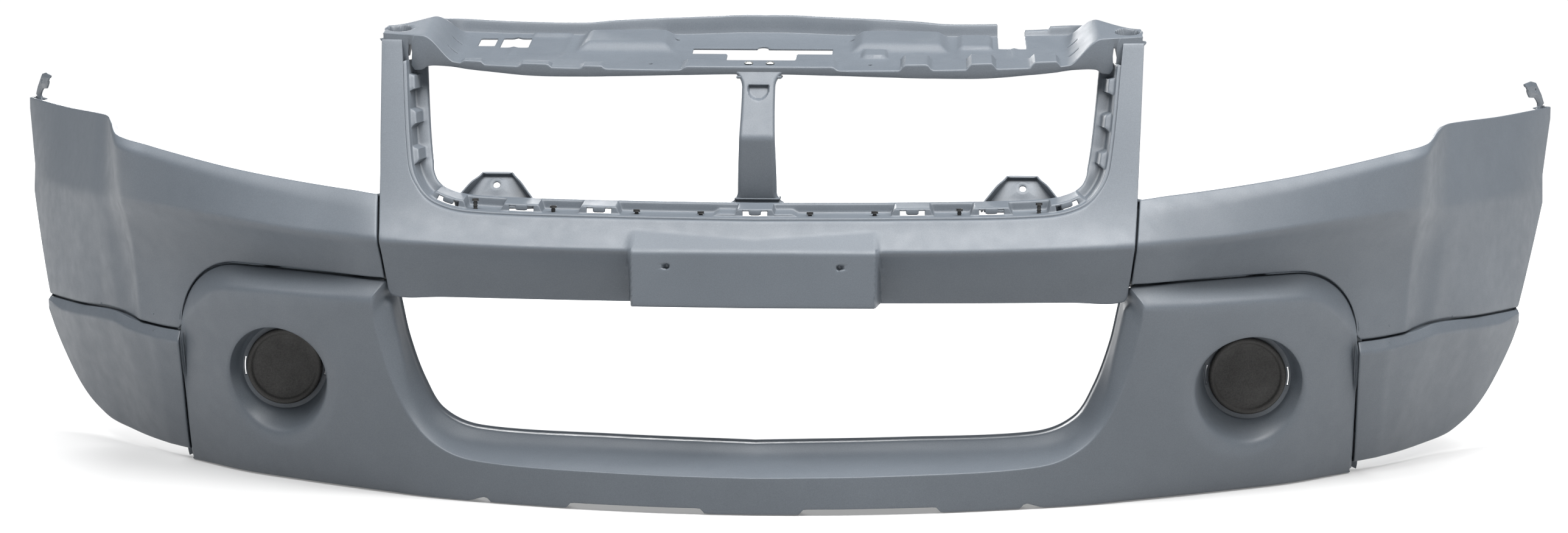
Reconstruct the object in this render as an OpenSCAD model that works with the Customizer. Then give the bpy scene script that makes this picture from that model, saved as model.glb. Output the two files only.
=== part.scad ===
// Front bumper cover of a compact sport-utility car, as an assembly of its panels and fixings.
// +X is the viewer's right when facing the nose, -Y is the way the car drives, +Z is up.
// The origin is on the centre plane, under the middle of the cover's depth, at floor level.

/* [Overall size] */
// Width across the wheel-arch edges
cover_width = 1810; // [1780:5:1830]
// Depth from the front lip to the rear end of the fender brackets
cover_depth = 619; // [606:1:631]
// Height from the lower flange to the top of the shelf lip
cover_height = 492; // [486:1:500]

/* [Skins] */
// Wall thickness of the moulded panels
skin = 3; // [2.6:0.1:3.4]
// Half of the gap left at every joint line
seam_gap = 0.5; // [0.4:0.1:0.8]
// Depth of the turned-in flange along the lower edge
lower_flange = 24; // [20:1:28]

/* [Grille surround] */
// Depth of the ledge behind the band
ledge_depth = 40; // [36:1:42]
// Width of a grille clip slot
slot_width = 22; // [18:1:24]
// Radius of the hole in each grille ear
ear_hole_r = 4.5; // [3.5:0.5:5]

/* [Top shelf] */
// Radius of the front-end fixing holes
shelf_hole_r = 3.25; // [2.75:0.25:3.5]
// Height of the shelf's rear lip at the centre
lip_height = 22; // [18:1:22]

/* [Number plate] */
// Distance between the two plate screws
plate_pitch = 172; // [160:2:190]
// Radius of the plate screw holes
plate_hole_r = 2; // [1.5:0.25:2.5]

/* [Fog lamp blanks] */
// Radius of the round blank
blank_r = 41; // [40:0.5:42]
// Radius of the bore that a blank plugs into
pocket_r = 38.5; // [37:0.5:39]

/* [Fixings] */
// Radius of the screw and clip shanks
shank_r = 2.4; // [2:0.1:2.5]
// Clearance round a shank
shank_gap = 0.2; // [0.1:0.05:0.3]
// Radius of the holes in the lower flange and the fender brackets
clip_hole_r = 3.25; // [2.75:0.25:3.5]

/* [Hidden] */
primer = [0.46, 0.50, 0.54];
dark_plastic = [0.13, 0.13, 0.13];
zinc = [0.62, 0.63, 0.60];
black = [0.08, 0.08, 0.08];
$fn = 48;
kx = cover_width / 1810;
ky = cover_depth / 619;
kz = cover_height / 492;
front_y = -18.2;
rear_y = 600.8;
mid_y = (front_y + rear_y) / 2;
fog = [511, 188, 117];
slot_places = [0, 158, 237, 314];
ear_place = [270, 98, 319];
ear_tilt = 35;
shelf_tilt = 14;
shelf_z = 435;

// ---- curves: a smooth line through points [place, value] ----
function span(p, x, i = 0) = i >= len(p) - 2 || x < p[i + 1][0] ? i : span(p, x, i + 1);
function rise(p, i) = let (a = max(i - 1, 0), b = min(i + 1, len(p) - 1))
    (p[b][1] - p[a][1]) / (p[b][0] - p[a][0]);
function curve(p, x) = let (
    i = span(p, x), h = p[i + 1][0] - p[i][0], t = (x - p[i][0]) / h,
    m = rise(p, i) * h, n = rise(p, i + 1) * h)
    (2 * t ^ 3 - 3 * t ^ 2 + 1) * p[i][1] + (t ^ 3 - 2 * t ^ 2 + t) * m
    + (3 * t ^ 2 - 2 * t ^ 3) * p[i + 1][1] + (t ^ 3 - t ^ 2) * n;
function mix(a, b, t) = a + (b - a) * t;
function step01(t) = let (u = min(max(t, 0), 1)) u * u * (3 - 2 * u);
function world(p) = [p[0] * kx, (p[1] - mid_y) * ky, p[2] * kz];

// ---- the body's design lines: plan depth and height against the distance from the centre ----
top_y = [[0, 25], [150, 33], [250, 43], [385, 62], [450, 90], [510, 118], [560, 144], [612, 175],
    [660, 206], [702, 238], [722, 285], [742, 332], [820, 468], [905, 598]];
top_z = [[0, 291], [150, 294], [250, 299], [385, 313], [450, 319], [510, 326], [560, 333], [612, 342],
    [660, 351], [702, 360], [722, 371], [742, 376], [820, 377], [905, 382]];
crease_y = [[0, -2], [150, 3], [250, 10], [380, 28], [448, 60], [482, 77], [568, 126], [639, 176],
    [693, 222], [712, 256], [745, 310], [800, 395], [850, 481], [891, 568], [905, 598]];
crease_z = [[0, 261], [200, 262], [380, 267], [482, 272], [568, 280], [639, 285], [693, 288], [905, 288]];
tuck = [[0, 50], [300, 42], [385, 32], [450, 48], [500, 57], [560, 56], [627, 48], [700, 38], [725, 22],
    [760, 5], [905, -6]];
arch_x = [[156, 849], [190, 865], [225, 878], [249, 884], [286, 891], [314, 897], [352, 903], [382, 905]];
groove_z = [[627, 151], [664, 152], [700, 156], [725, 161], [787, 159], [850, 157]];

// Depth of the painted body at a distance x from the centre and a height z
function body_y(x, z) = let (zt = curve(top_z, x), zc = curve(crease_z, x), yt = curve(top_y, x),
    yc = curve(crease_y, x), bevel = 9 * (1 - step01((x - 700) / 40)))
    z > zt ? yt + 0.44 * (z - zt)
    : z > zt - 9.5 ? mix(yt, yt - bevel, (zt - z) / 9.5)
    : z > zc ? mix(yc, yt - bevel, (z - zc) / (zt - 9.5 - zc))
    : yc + curve(tuck, x) * (1 - exp((z - zc) / 35));

// ---- the lower fascia's design lines ----
foot_y = [[0, -15], [50, -13], [100, -8], [180, 8], [270, 36], [340, 64], [410, 104], [507, 166],
    [565, 208], [634, 278], [650, 296]];
brow_y = [[0, -30], [200, -5], [300, 14], [391, 40], [450, 70], [507, 104], [552, 134], [600, 172],
    [622, 192], [650, 216]];
function pod_y(x, z) = mix(curve(foot_y, x), curve(brow_y, x), (max(z, 0) / 205) ^ 0.9);
rim_x = [[0, 0], [0.2, 150], [0.35, 283], [0.42, 325], [0.48, 346], [0.53, 362], [0.56, 371], [0.58, 376],
    [0.6, 384], [0.84, 557], [0.88, 584], [0.92, 606.5], [0.96, 621.7], [1, 627]];
rim_z = [[0, 62.5], [0.2, 64], [0.35, 68], [0.42, 85], [0.48, 119], [0.53, 165], [0.56, 207], [0.58, 222],
    [0.6, 225], [0.84, 228], [0.88, 222.6], [0.92, 207.9], [0.96, 184.5], [1, 153]];
foot_x = [[0, 0], [0.35, 300], [0.6, 398], [0.84, 566], [0.92, 610], [1, 636]];

// ---- the centre fascia: from its lower and outer edge to the edge of the grille openings ----
outer_x = [[0, 0], [0.5, 318], [0.6, 371], [0.64, 377], [0.72, 381], [0.8, 385], [1, 394]];
outer_z = [[0, 206], [0.5, 208], [0.6, 209], [0.64, 226], [0.72, 267], [0.8, 313], [1, 468]];
inner_x = [[0, 0], [0.25, 140], [0.5, 286], [0.6, 325], [0.68, 345], [0.76, 357], [1, 372]];
inner_z = [[0, 291], [0.25, 292], [0.5, 295], [0.6, 303], [0.68, 319], [0.76, 345], [1, 468]];
function seam_x(z) = curve([[206, 376], [226, 378], [267, 382], [313, 386], [468, 395]], z);

// ---- builders ----
function unit(v) = v / norm(v);
function facing(g, i, j) = let (n = len(g) - 1, m = len(g[0]) - 1) unit(cross(
    g[i][min(j + 1, m)] - g[i][max(j - 1, 0)], g[min(i + 1, n)][j] - g[max(i - 1, 0)][j]));

// A closed shell of thickness t behind a grid of points, whose columns run to +X and rows to +Z
module shell(g, t = skin) {
    n = len(g);
    m = len(g[0]);
    k = n * m;
    outer = [for (r = g) for (p = r) p];
    inner = [for (i = [0:n - 1]) for (j = [0:m - 1]) g[i][j] - t * facing(g, i, j)];
    quads = concat(
        [for (i = [0:n - 2]) for (j = [0:m - 2]) let (a = i * m + j) [a, a + m, a + m + 1, a + 1]],
        [for (i = [0:n - 2]) for (j = [0:m - 2]) let (a = k + i * m + j) [a + 1, a + m + 1, a + m, a]],
        [for (j = [0:m - 2]) [j, j + 1, k + j + 1, k + j]],
        [for (j = [0:m - 2]) let (a = (n - 1) * m + j) [a + 1, a, k + a, k + a + 1]],
        [for (i = [0:n - 2]) let (a = i * m) [a + m, a, k + a, k + a + m]],
        [for (i = [0:n - 2]) let (a = i * m + m - 1) [a, a + m, k + a + m, k + a]]);
    polyhedron(concat(outer, inner), [for (q = quads) for (f = [[q[0], q[1], q[2]], [q[0], q[2], q[3]]]) f]);
}

// A hole or a pin along Y, X or Z, centred on a point of the design
module along_y(p, r, l) { translate(world(p)) rotate([90, 0, 0]) cylinder(r = r, h = l, center = true); }
module along_x(p, r, l) { translate(world(p)) rotate([0, 90, 0]) cylinder(r = r, h = l, center = true); }
module along_z(p, r, l) { translate(world(p)) cylinder(r = r, h = l, center = true); }
module both_sides() { children(); mirror([1, 0, 0]) children(); }

// An upright tab standing behind a skin at x: it carries one screw along X at height z
module upright_tab(x, z, yf, yb, side) {
    lo = world([x, yf[0] + skin * 0.8, z - 10]);
    hi = world([x, yf[1] + skin * 0.8, z + 10]);
    back = world([x, yb, z])[1];
    difference() {
        translate([lo[0] + (side > 0 ? 1.4 : -4.4), 0, 0]) rotate([90, 0, 90])
            linear_extrude(3) polygon([[lo[1], lo[2]], [back, lo[2]], [back, hi[2]], [hi[1], hi[2]]]);
        along_x([x, yb - 9, z], shank_r + shank_gap, 20);
    }
}

// A level tab behind a skin between x - 10 and x + 10, turned inwards by the skin's own slope
function level_outline(x, yf, reach) = let (a = [x - 10, yf[0]], b = [x + 10, yf[1]],
    n = unit([a[1] - b[1], b[0] - a[0]])) [a + n * skin * 0.8, b + n * skin * 0.8, b + n * reach, a + n * reach];
function level_centre(x, yf, reach) = let (o = level_outline(x, yf, reach)) (o[2] + o[3]) / 2
    - unit(o[2] - o[1]) * 9;
module level_tab(x, z, yf, reach, c) {
    difference() {
        translate([0, 0, z * kz]) linear_extrude(3)
            polygon([for (q = level_outline(x, yf, reach)) let (w = world([q[0], q[1], 0])) [w[0], w[1]]]);
        along_z([c[0], c[1], z], shank_r + shank_gap, 20);
    }
}

// ---- where the panels are fixed to each other ----
seam_screw_z = [244, 292];
pod_clip_x = [425, 525];
skirt_clip_x = [668, 752, 822];
skirt_screw_z = [55, 112];
carrier_rivet_x = [55, 120, 205, 285];
function wing_foot_z(x) = x < 557 ? mix(226, 229, (x - 378) / 179)
    : x < 627 ? 157 + 72 * sqrt(max(1 - ((x - 557) / 70) ^ 2, 0)) : curve(groove_z, min(x, 850));
function skirt_y(x, z) = let (zg = curve(groove_z, min(x, 850)))
    body_y(x, zg) - 8 * step01((zg - z) / 12) + 0.52 * max(zg - 12 - z, 0);
function pod_tab_y(x) = [body_y(x - 10, 226) - 8, body_y(x + 10, 226) - 8];
function wing_tab_y(x) = [body_y(x - 10, 234), body_y(x + 10, 234)];
function groove_tab_y(x) = [body_y(x - 10, 164), body_y(x + 10, 164)];
function skirt_tab_y(x) = [skirt_y(x - 10, 148), skirt_y(x + 10, 148)];
function pod_clip_at(x) = level_centre(x, wing_tab_y(x), 31);
function skirt_clip_at(x) = level_centre(x, groove_tab_y(x), 26);
function side_x(z) = mix(637, 629, z / 152);
shelf_screw = [377, 150, 448];
post_screw_y = [108, 84];

// ---- panels ----
module centre_fascia() {
    places = [for (k = [-42:42]) k / 42];
    levels = [0, 0.16, 0.33, 0.5, 0.647, 0.78, 0.9, 1];
    grid = [for (v = levels) [for (s = places) let (a = abs(s),
        x = mix(curve(outer_x, a), curve(inner_x, a), v) - seam_gap * step01((a - 0.6) * 20) * (1 - v),
        z = mix(curve(outer_z, a), curve(inner_z, a), v)) world([sign(s) * x, body_y(x, z), z])]];
    pad_half = 124;
    color(primer) difference() {
        union() {
            shell(grid);
            // flat pad for the number plate
            translate([-pad_half * kx, 0, 0]) rotate([90, 0, 90]) linear_extrude(2 * pad_half * kx)
                polygon([for (q = [[-7, 209], [-7, 262], [2, 269], [8, 267], [8, 250], [37, 212]])
                    let (w = world([0, q[0], q[1]])) [w[1], w[2]]]);
            both_sides() for (z = seam_screw_z)
                upright_tab(seam_x(z), z, [body_y(382, z - 10), body_y(382, z + 10)], 92, -1);
            // seats for the carrier's rivets
            both_sides() for (x = carrier_rivet_x) translate([x * kx, 0, 0]) rotate([90, 0, 90])
                linear_extrude(16, center = true) polygon([for (q = [[body_y(x, 275) + 2, 275],
                    [body_y(x, 275) + 38, 281.5], [body_y(x, 275) + 38, 284.5], [body_y(x, 284) + 2, 284.5]])
                    let (w = world([0, q[0], q[1]])) [w[1], w[2]]]);
            // seats for the shelf's screws on top of each pillar
            both_sides() shelf_frame() translate([368, 21, -3.3]) cube([19, 56, 3]);
        }
        for (s = [-1, 1]) along_y([s * plate_pitch / 2, 0, 247.5], plate_hole_r, 60);
        both_sides() for (x = carrier_rivet_x)
            along_z([x, body_y(x, 275) + 27, 284], shank_r + shank_gap, 30);
        both_sides() along_z(shelf_screw, shank_r + shank_gap, 20);
    }
}

// U-shaped ledge inside the grille openings, with its clip slots and two ears
module ear_plate() {
    translate(world(ear_place)) rotate([-ear_tilt, 0, 0]) rotate([90, 0, 0]) linear_extrude(3, center = true)
        difference() {
            polygon([[-50, -24], [48, -24], [15, 14], [-15, 14]]);
            circle(r = ear_hole_r);
        }
}
module grille_carrier() {
    places = [for (k = [-32:32]) k / 32 * 0.925];
    function lip(a) = [curve(inner_x, a) - 3.5 * step01((a - 0.5) * 5), curve(inner_z, a) + 3.2];
    function back(a) = let (p = lip(a)) [p[0] - 20 * step01((a - 0.5) * 4), p[1] + 5 * (1 - step01((a - 0.5) * 3))];
    function top(a) = let (p = back(a)) [p[0] - 2, p[1] + 11 * (1 - step01((a - 0.55) * 4))];
    function level(a, v) = v < 2 ? mix(lip(a), back(a), v) : mix(back(a), top(a), v - 2);
    depth = [4, 22, ledge_depth, ledge_depth + 2];
    part = [0, 0.5, 1, 3];
    grid = [for (i = [0:3]) [for (s = places) let (a = abs(s), p = level(a, part[i]), e = lip(a))
        world([sign(s) * p[0], body_y(e[0], e[1]) + depth[i], p[1]])]];
    color(primer) difference() {
        union() {
            shell(grid, 2.6);
            both_sides() ear_plate();
            // seat for the post's foot
            translate(world([-20, 66, 304.2])) cube([40, 30, 3]);
        }
        for (s = [-1, 1]) along_z([s * 11, post_screw_y[1], 306], shank_r + shank_gap, 20);
        for (x = slot_places) for (s = x == 0 ? [1] : [-1, 1]) {
            translate(world([s * x, body_y(x, 292) + ledge_depth - 14, 0]))
                translate([-slot_width / 2, 0, curve(top_z, x) * kz - 8])
                cube([slot_width, 24, 20]);
        }
        both_sides() for (x = carrier_rivet_x)
            along_z([x, body_y(x, 275) + 27, 296], shank_r + shank_gap, 30);
    }
}

// Sloping shelf over the openings, with windows, fixing bosses and the rear lip
module shelf_frame() { translate(world([0, 98, shelf_z])) rotate([shelf_tilt, 0, 0]) children(); }
module upper_shelf() {
    front = [for (x = [-386:38.6:386]) [x * kx, 34 * (abs(x) / 386) ^ 2.4]];
    rear = [for (x = [386:-38.6:-386]) [x * kx, 136 - 60 * step01((abs(x) - 300) / 86)]];
    color(primer) difference() {
        union() {
            shelf_frame() difference() {
                union() {
                    linear_extrude(3) polygon(concat(front, rear));
                    // rear lip and front lip
                    translate([-300 * kx, 133, 0]) cube([600 * kx, 3, lip_height]);
                    for (x = [-200, 30]) translate([x, 0.5, -5]) cube([170, 3, 6]);
                    for (x = [-296, -212, -128, 128, 212, 296]) translate([x, 4 + abs(x) * 0.04, 2])
                        cube([26, 110, 3]);
                }
                // centre window, its deeper part, and the windows at the left end
                translate([-74, 58, -10]) cube([148, 24, 30]);
                translate([-37, 22, -10]) cube([74, 40, 30]);
                translate([-302, 84, -10]) cube([20, 34, 30]);
                translate([-278, 80, -10]) cube([32, 40, 30]);
                // notch through the rear lip at the right end
                translate([244, 84, -10]) cube([32, 70, 60]);
                // small slots near both ends
                for (s = [-1, 1]) for (y = [52, 86]) translate([s * 322 - 6, y, -10]) cube([12, 3, 30]);
            }
            for (s = [-1, 1]) along_z([s * 92, 208, 461], 9, 14);
            for (s = [-1, 1]) along_z([s * 113, 121, 440], 9, 12);
        }
        for (s = [-1, 1]) along_z([s * 92, 208, 461], shelf_hole_r, 60);
        for (s = [-1, 1]) along_z([s * 113, 121, 440], shelf_hole_r, 60);
        both_sides() along_z(shelf_screw, shank_r + shank_gap, 40);
        for (s = [-1, 1]) along_z([s * 11, post_screw_y[0], 436], shank_r + shank_gap, 40);
    }
}

// Post between the two grille openings, with a tab at each end
module centre_post() {
    color(primer) difference() {
        union() {
            intersection() {
                rotate([90, 0, 90]) linear_extrude(80, center = true) polygon([
                    for (q = [[72.5, 307.5], [60, 372], [78, 403], [98, 431], [102, 431], [82, 400], [64, 371], [76.5, 307.5]])
                    let (w = world([0, q[0], q[1]])) [w[1], w[2]]]);
                translate(world([0, 120, 0])) rotate([90, 0, 0]) linear_extrude(140) polygon([
                    for (q = [[-26, 306], [-20, 318], [-18, 370], [-17, 410], [-20, 424], [-26, 432],
                        [26, 432], [20, 424], [17, 410], [18, 370], [20, 318], [26, 306]]) [q[0], q[1] * kz]]);
            }
            translate(world([-22, 98, 430])) cube([44, 24, 3]);
            translate(world([-22, 73.5, 307.5])) cube([44, 22.5, 3]);
        }
        for (s = [-1, 1]) along_z([s * 11, post_screw_y[0], 436], shank_r + shank_gap, 40);
        for (s = [-1, 1]) along_z([s * 11, post_screw_y[1], 308], shank_r + shank_gap, 40);
    }
}

module wing() {
    xs = concat([for (x = [388:24:556]) x], [for (a = [10:14:80]) 557 + 70 * sin(a)],
        [628.5, 645, 664, 684, 700, 708, 716, 725, 735, 745]);
    outs = [0.12, 0.26, 0.4, 0.55, 0.7, 0.85, 1];
    function across(z) = concat(xs, [for (t = outs) mix(745, curve(arch_x, z), t)]);
    count = len(xs) + len(outs);
    levels = [0, 0.3, 0.62, 1, 1.5, 2, 3];
    function lift(x, v) = let (zb = wing_foot_z(x) + 2.5, zc = curve(crease_z, x), zt = curve(top_z, x))
        v <= 1 ? mix(zb, zc, v) : v <= 2 ? mix(zc, zt - 9.5, v - 1) : mix(zt - 9.5, zt, v - 2);
    rough = [for (v = levels) [for (j = [0:count - 1]) let (x0 = j < len(xs) ? xs[j] : mix(745, 891, outs[j - len(xs)]),
        z0 = lift(x0, v), x = j == 0 ? seam_x(z0) + seam_gap : across(max(z0, 156))[j],
        z = j > len(xs) - 1 ? lift(x, v) : z0) [x, body_y(x, z), z]]];
    flange = [for (r = rough) concat([for (p = r) world(p)], [world(r[count - 1] + [-18, 3, 0])])];
    color(primer) difference() {
        union() {
            shell(flange);
            for (z = seam_screw_z) upright_tab(seam_x(z), z, [body_y(388, z - 10), body_y(388, z + 10)], 92, 1);
            for (x = pod_clip_x) level_tab(x, 231, wing_tab_y(x), 31, pod_clip_at(x));
            for (x = skirt_clip_x) level_tab(x, 163, groove_tab_y(x), 26, skirt_clip_at(x));
        }
        // rivet holes of the fender bracket
        for (x = [855, 874]) bracket_axis(x) cylinder(r = shank_r + shank_gap, h = 30, center = true);
    }
}

// Points the local +Z axis into the wing's upper rear corner
function bracket_point(x) = [x, body_y(x, 366), 366];
module bracket_axis(x) { translate(world(bracket_point(x))) rotate([0, 0, 60]) rotate([90, 0, 0]) children(); }

module corner_skirt() {
    base = [[631, 10], [646, 10.5], [684, 12], [726, 16], [758, 22], [776, 31], [794, 45], [812, 66],
        [829, 95], [840, 118], [846, 134]];
    xs = [631, 640, 652, 668, 684, 698, 706, 714, 724, 738, 752, 766, 780, 794, 808, 820, 831, 840, 846];
    levels = [0, 0.25, 0.5, 0.75, 1, 2];
    function top(x) = curve(groove_z, x) - 1.5;
    grid = [for (v = levels) [for (x0 = xs) let (lo = curve(base, x0), hi = top(x0),
        z = v <= 1 ? mix(lo, hi - 12 + 10 * step01((x0 - 800) / 46), v) : hi,
        x = x0 > 640 ? x0 : mix(side_x(z) + 1.5, 652, (x0 - 631) / 21)) world([x, skirt_y(x, z), z])]];
    color(primer) difference() {
        union() {
            shell(grid);
            for (x = skirt_clip_x) level_tab(x, 145, skirt_tab_y(x), 38, skirt_clip_at(x));
            for (z = skirt_screw_z) upright_tab(side_x(z), z, [skirt_y(634, z - 10) - 0.8, skirt_y(634, z + 10) - 0.8],
                skirt_y(640, z) + 34, 1);
        }
    }
}

// Valance and both lamp pods in one moulding
module lower_fascia() {
    half = [0, 0.07, 0.14, 0.21, 0.28, 0.35, 0.39, 0.43, 0.47, 0.51, 0.54, 0.56, 0.58, 0.6, 0.64, 0.68,
        0.72, 0.76, 0.8, 0.84, 0.88, 0.92, 0.96, 1];
    places = concat([for (k = [len(half) - 1:-1:1]) -half[k]], half);
    function rim(a) = [curve(rim_x, a), curve(rim_z, a)];
    function foot(a) = [curve(foot_x, a), 0];
    function bevel(a) = 24 - 3 * step01((a - 0.55) * 20) - 15 * step01((a - 0.86) * 9);
    function fall(a) = let (k = step01((a - 0.56) * 30))
        mix(curve([[0, 42], [0.2, 62], [0.35, 82], [0.56, 80], [1, 80]], a), body_y(rim(a)[0], rim(a)[1]) + 3, k);
    function face_at(s, v) = let (a = abs(s), r = rim(a), f = foot(a), k = 1 - bevel(a) / norm(r - f),
        p = mix(f, r, v * k)) world([sign(s) * p[0], pod_y(p[0], p[1]), p[1]]);
    function edge_at(s, back) = let (a = abs(s), r = rim(a)) world([sign(s) * r[0], fall(a) + back, r[1]]);
    under = [for (s = places) let (p = foot(abs(s))) world([sign(s) * p[0], curve(foot_y, p[0]) + lower_flange, 0])];
    grid = concat([under], [for (v = [0, 0.25, 0.5, 0.75, 1]) [for (s = places) face_at(s, v)]],
        [[for (s = places) edge_at(s, 0)], [for (s = places) edge_at(s, 14)]]);
    color(primer) difference() {
        union() {
            shell(grid);
            both_sides() for (x = pod_clip_x) level_tab(x, 219, pod_tab_y(x), 41, pod_clip_at(x));
            both_sides() for (z = skirt_screw_z) upright_tab(side_x(z), z,
                [pod_y(629, z - 10), pod_y(629, z + 10)], skirt_y(640, z) + 34, -1);
        }
        both_sides() {
            translate(world(fog)) rotate([90, 0, 0]) cylinder(r = 57, h = 240, center = true);
            // fixing holes for the undertray in the lower flange
            for (x = [130, 420]) along_z([x, curve(foot_y, x) + 15, 0], clip_hole_r, 30);
        }
    }
}

// Funnel behind the round opening of a pod, with the bore that holds the blank
module fog_pocket() {
    color(primer) difference() {
        translate(world(fog)) rotate([-90, 0, 0]) rotate_extrude() polygon([[pocket_r, 0], [47, 0], [53.5, -85],
            [56, -85], [50.5, 3], [pocket_r + 3, 3], [pocket_r + 3, 26], [pocket_r, 26]]);
        // trimmed to the slope of the pod's face
        translate(world([fog[0], pod_y(fog[0], fog[2]) + 1.5, fog[2]])) rotate([-15, 0, 35.5])
            translate([-150, -150, -150]) cube([300, 150, 300]);
        // slots beside the blank, at its left and right
        for (s = [-1, 1]) translate(world(fog)) translate([s * 41 - 4, -3, -11]) cube([8, 16, 22]);
    }
}

// Round blank that plugs the lamp pocket: disc, raised ring, plug collar and two finger ribs
module fog_blank() {
    color(dark_plastic) translate(world(fog)) rotate([-90, 0, 0]) {
        rotate_extrude() polygon([[0, -3.4], [blank_r - 7, -3.4], [blank_r - 5.5, -5.4], [blank_r - 2.5, -5.4],
            [blank_r, -3], [blank_r, -0.4], [pocket_r - 1, -0.4], [pocket_r - 1, 17], [pocket_r - 3.5, 17],
            [pocket_r - 3.5, -0.6], [0, -0.6]]);
        for (a = [0, 90]) rotate([0, 0, a]) translate([-pocket_r + 2, -1, -1]) cube([2 * pocket_r - 4, 2, 6]);
    }
}

// Hooked bracket that rises from the wing's rear corner to the fender, with a bolt hole
module fender_bracket() {
    color(primer) difference() {
        translate(world([880, body_y(880, 366), 366])) rotate([0, 0, 60]) translate([0, 8.4, 0]) rotate([90, 0, 0])
            linear_extrude(3, center = true) difference() {
                polygon([[-54, -8], [29, -8], [29, 17], [42, 19], [30, 30], [11, 44], [-5, 46], [-27, 44],
                    [-17, 36], [-9, 29], [9, 28], [23, 18], [12, 6], [-54, 5]]);
                translate([6, 36.5]) circle(r = clip_hole_r);
            }
        for (x = [855, 874]) bracket_axis(x) cylinder(r = shank_r + shank_gap, h = 40, center = true);
    }
}

// ---- fixings ----
module screw_x(p, side) {
    translate(world(p)) rotate([0, 90 * side, 0]) {
        translate([0, 0, -7]) cylinder(r = shank_r, h = 11.4 + 3);
        translate([0, 0, 4.4]) cylinder(r = 6, h = 3);
    }
}
module clip_z(c, z, reach) {
    translate(world([c[0], c[1], 0])) translate([0, 0, z]) {
        cylinder(r = shank_r, h = reach + 3);
        translate([0, 0, reach]) cylinder(r = 7, h = 2.4);
    }
}
module seam_screws() {
    color(zinc) for (z = seam_screw_z) screw_x([seam_x(z), 83, z], 1);
}
module pod_clips() {
    color(black) for (x = pod_clip_x) clip_z(pod_clip_at(x), 213.2 * kz, 21);
}
module skirt_screws() {
    color(zinc) for (z = skirt_screw_z) screw_x([side_x(z), skirt_y(640, z) + 25, z], 1);
}
module skirt_clips() {
    color(black) for (x = skirt_clip_x) clip_z(skirt_clip_at(x), 142.2 * kz, 24);
}
module bracket_rivets() {
    color(zinc) for (x = [855, 874]) bracket_axis(x) translate([0, 0, -10]) cylinder(r = shank_r, h = 11);
}
module shelf_screws() {
    color(zinc) both_sides() along_z(shelf_screw, shank_r, 18);
}
module post_screws() {
    color(zinc) for (s = [-1, 1]) {
        translate(world([s * 11, post_screw_y[0], 0])) translate([0, 0, 426 * kz]) cylinder(r = shank_r, h = 18);
        translate(world([s * 11, post_screw_y[1], 0])) translate([0, 0, 301 * kz]) cylinder(r = shank_r, h = 12);
    }
}
module carrier_rivets() {
    color(black) both_sides() for (x = carrier_rivet_x) translate(world([x, body_y(x, 275) + 27, 0]))
        translate([0, 0, 279 * kz]) cylinder(r = shank_r, h = 18);
}

centre_fascia();
grille_carrier();
upper_shelf();
centre_post();
lower_fascia();
wing();  // right_wing
mirror([1, 0, 0]) wing();  // left_wing
corner_skirt();  // right_corner_skirt
mirror([1, 0, 0]) corner_skirt();  // left_corner_skirt
fog_pocket();  // right_fog_pocket
mirror([1, 0, 0]) fog_pocket();  // left_fog_pocket
fog_blank();  // right_fog_blank
mirror([1, 0, 0]) fog_blank();  // left_fog_blank
fender_bracket();  // right_fender_bracket
mirror([1, 0, 0]) fender_bracket();  // left_fender_bracket
seam_screws();  // right_seam_screws
mirror([1, 0, 0]) seam_screws();  // left_seam_screws
pod_clips();  // right_pod_clips
mirror([1, 0, 0]) pod_clips();  // left_pod_clips
skirt_screws();  // right_skirt_screws
mirror([1, 0, 0]) skirt_screws();  // left_skirt_screws
skirt_clips();  // right_skirt_clips
mirror([1, 0, 0]) skirt_clips();  // left_skirt_clips
bracket_rivets();  // right_bracket_rivets
mirror([1, 0, 0]) bracket_rivets();  // left_bracket_rivets
shelf_screws();
post_screws();
carrier_rivets();
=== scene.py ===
"""Looks of a primed front bumper cover: its moulded panels, fixings, finishes, light and camera.

Lengths are worked out in millimetres on the part's own design lines and turned into metres in one place.
x is the distance from the centre plane, y the depth behind the number plate and z the height.
"""

import math

import bpy
import numpy as np
from mathutils import Matrix, Vector

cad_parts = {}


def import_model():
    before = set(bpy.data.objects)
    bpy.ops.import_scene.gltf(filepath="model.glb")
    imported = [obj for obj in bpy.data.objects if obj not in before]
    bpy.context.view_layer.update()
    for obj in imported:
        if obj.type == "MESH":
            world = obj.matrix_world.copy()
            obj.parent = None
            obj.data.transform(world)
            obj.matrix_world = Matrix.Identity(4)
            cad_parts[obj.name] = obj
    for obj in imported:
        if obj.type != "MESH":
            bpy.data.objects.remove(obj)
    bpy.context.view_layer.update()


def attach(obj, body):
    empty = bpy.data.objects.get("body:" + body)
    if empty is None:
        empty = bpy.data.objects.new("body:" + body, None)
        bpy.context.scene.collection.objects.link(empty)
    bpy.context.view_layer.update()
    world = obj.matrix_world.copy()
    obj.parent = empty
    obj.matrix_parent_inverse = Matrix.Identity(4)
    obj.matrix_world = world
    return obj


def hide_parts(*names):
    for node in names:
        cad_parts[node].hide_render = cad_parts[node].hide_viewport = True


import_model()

MID_DEPTH = 291.3  # depth of the frame's origin
MM = 0.001
SKIN = 2.6  # thickness of the moulded panels
THIN = 2.4  # thickness of the carrier, the ears, the shelf and the post
STEP = 4.0  # size of a panel's mesh cells
SHARP = 38  # edges that turn by more degrees than this are shaded as sharp
X_AXIS, Y_AXIS, Z_AXIS = (1, 0, 0), (0, 1, 0), (0, 0, 1)

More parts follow.
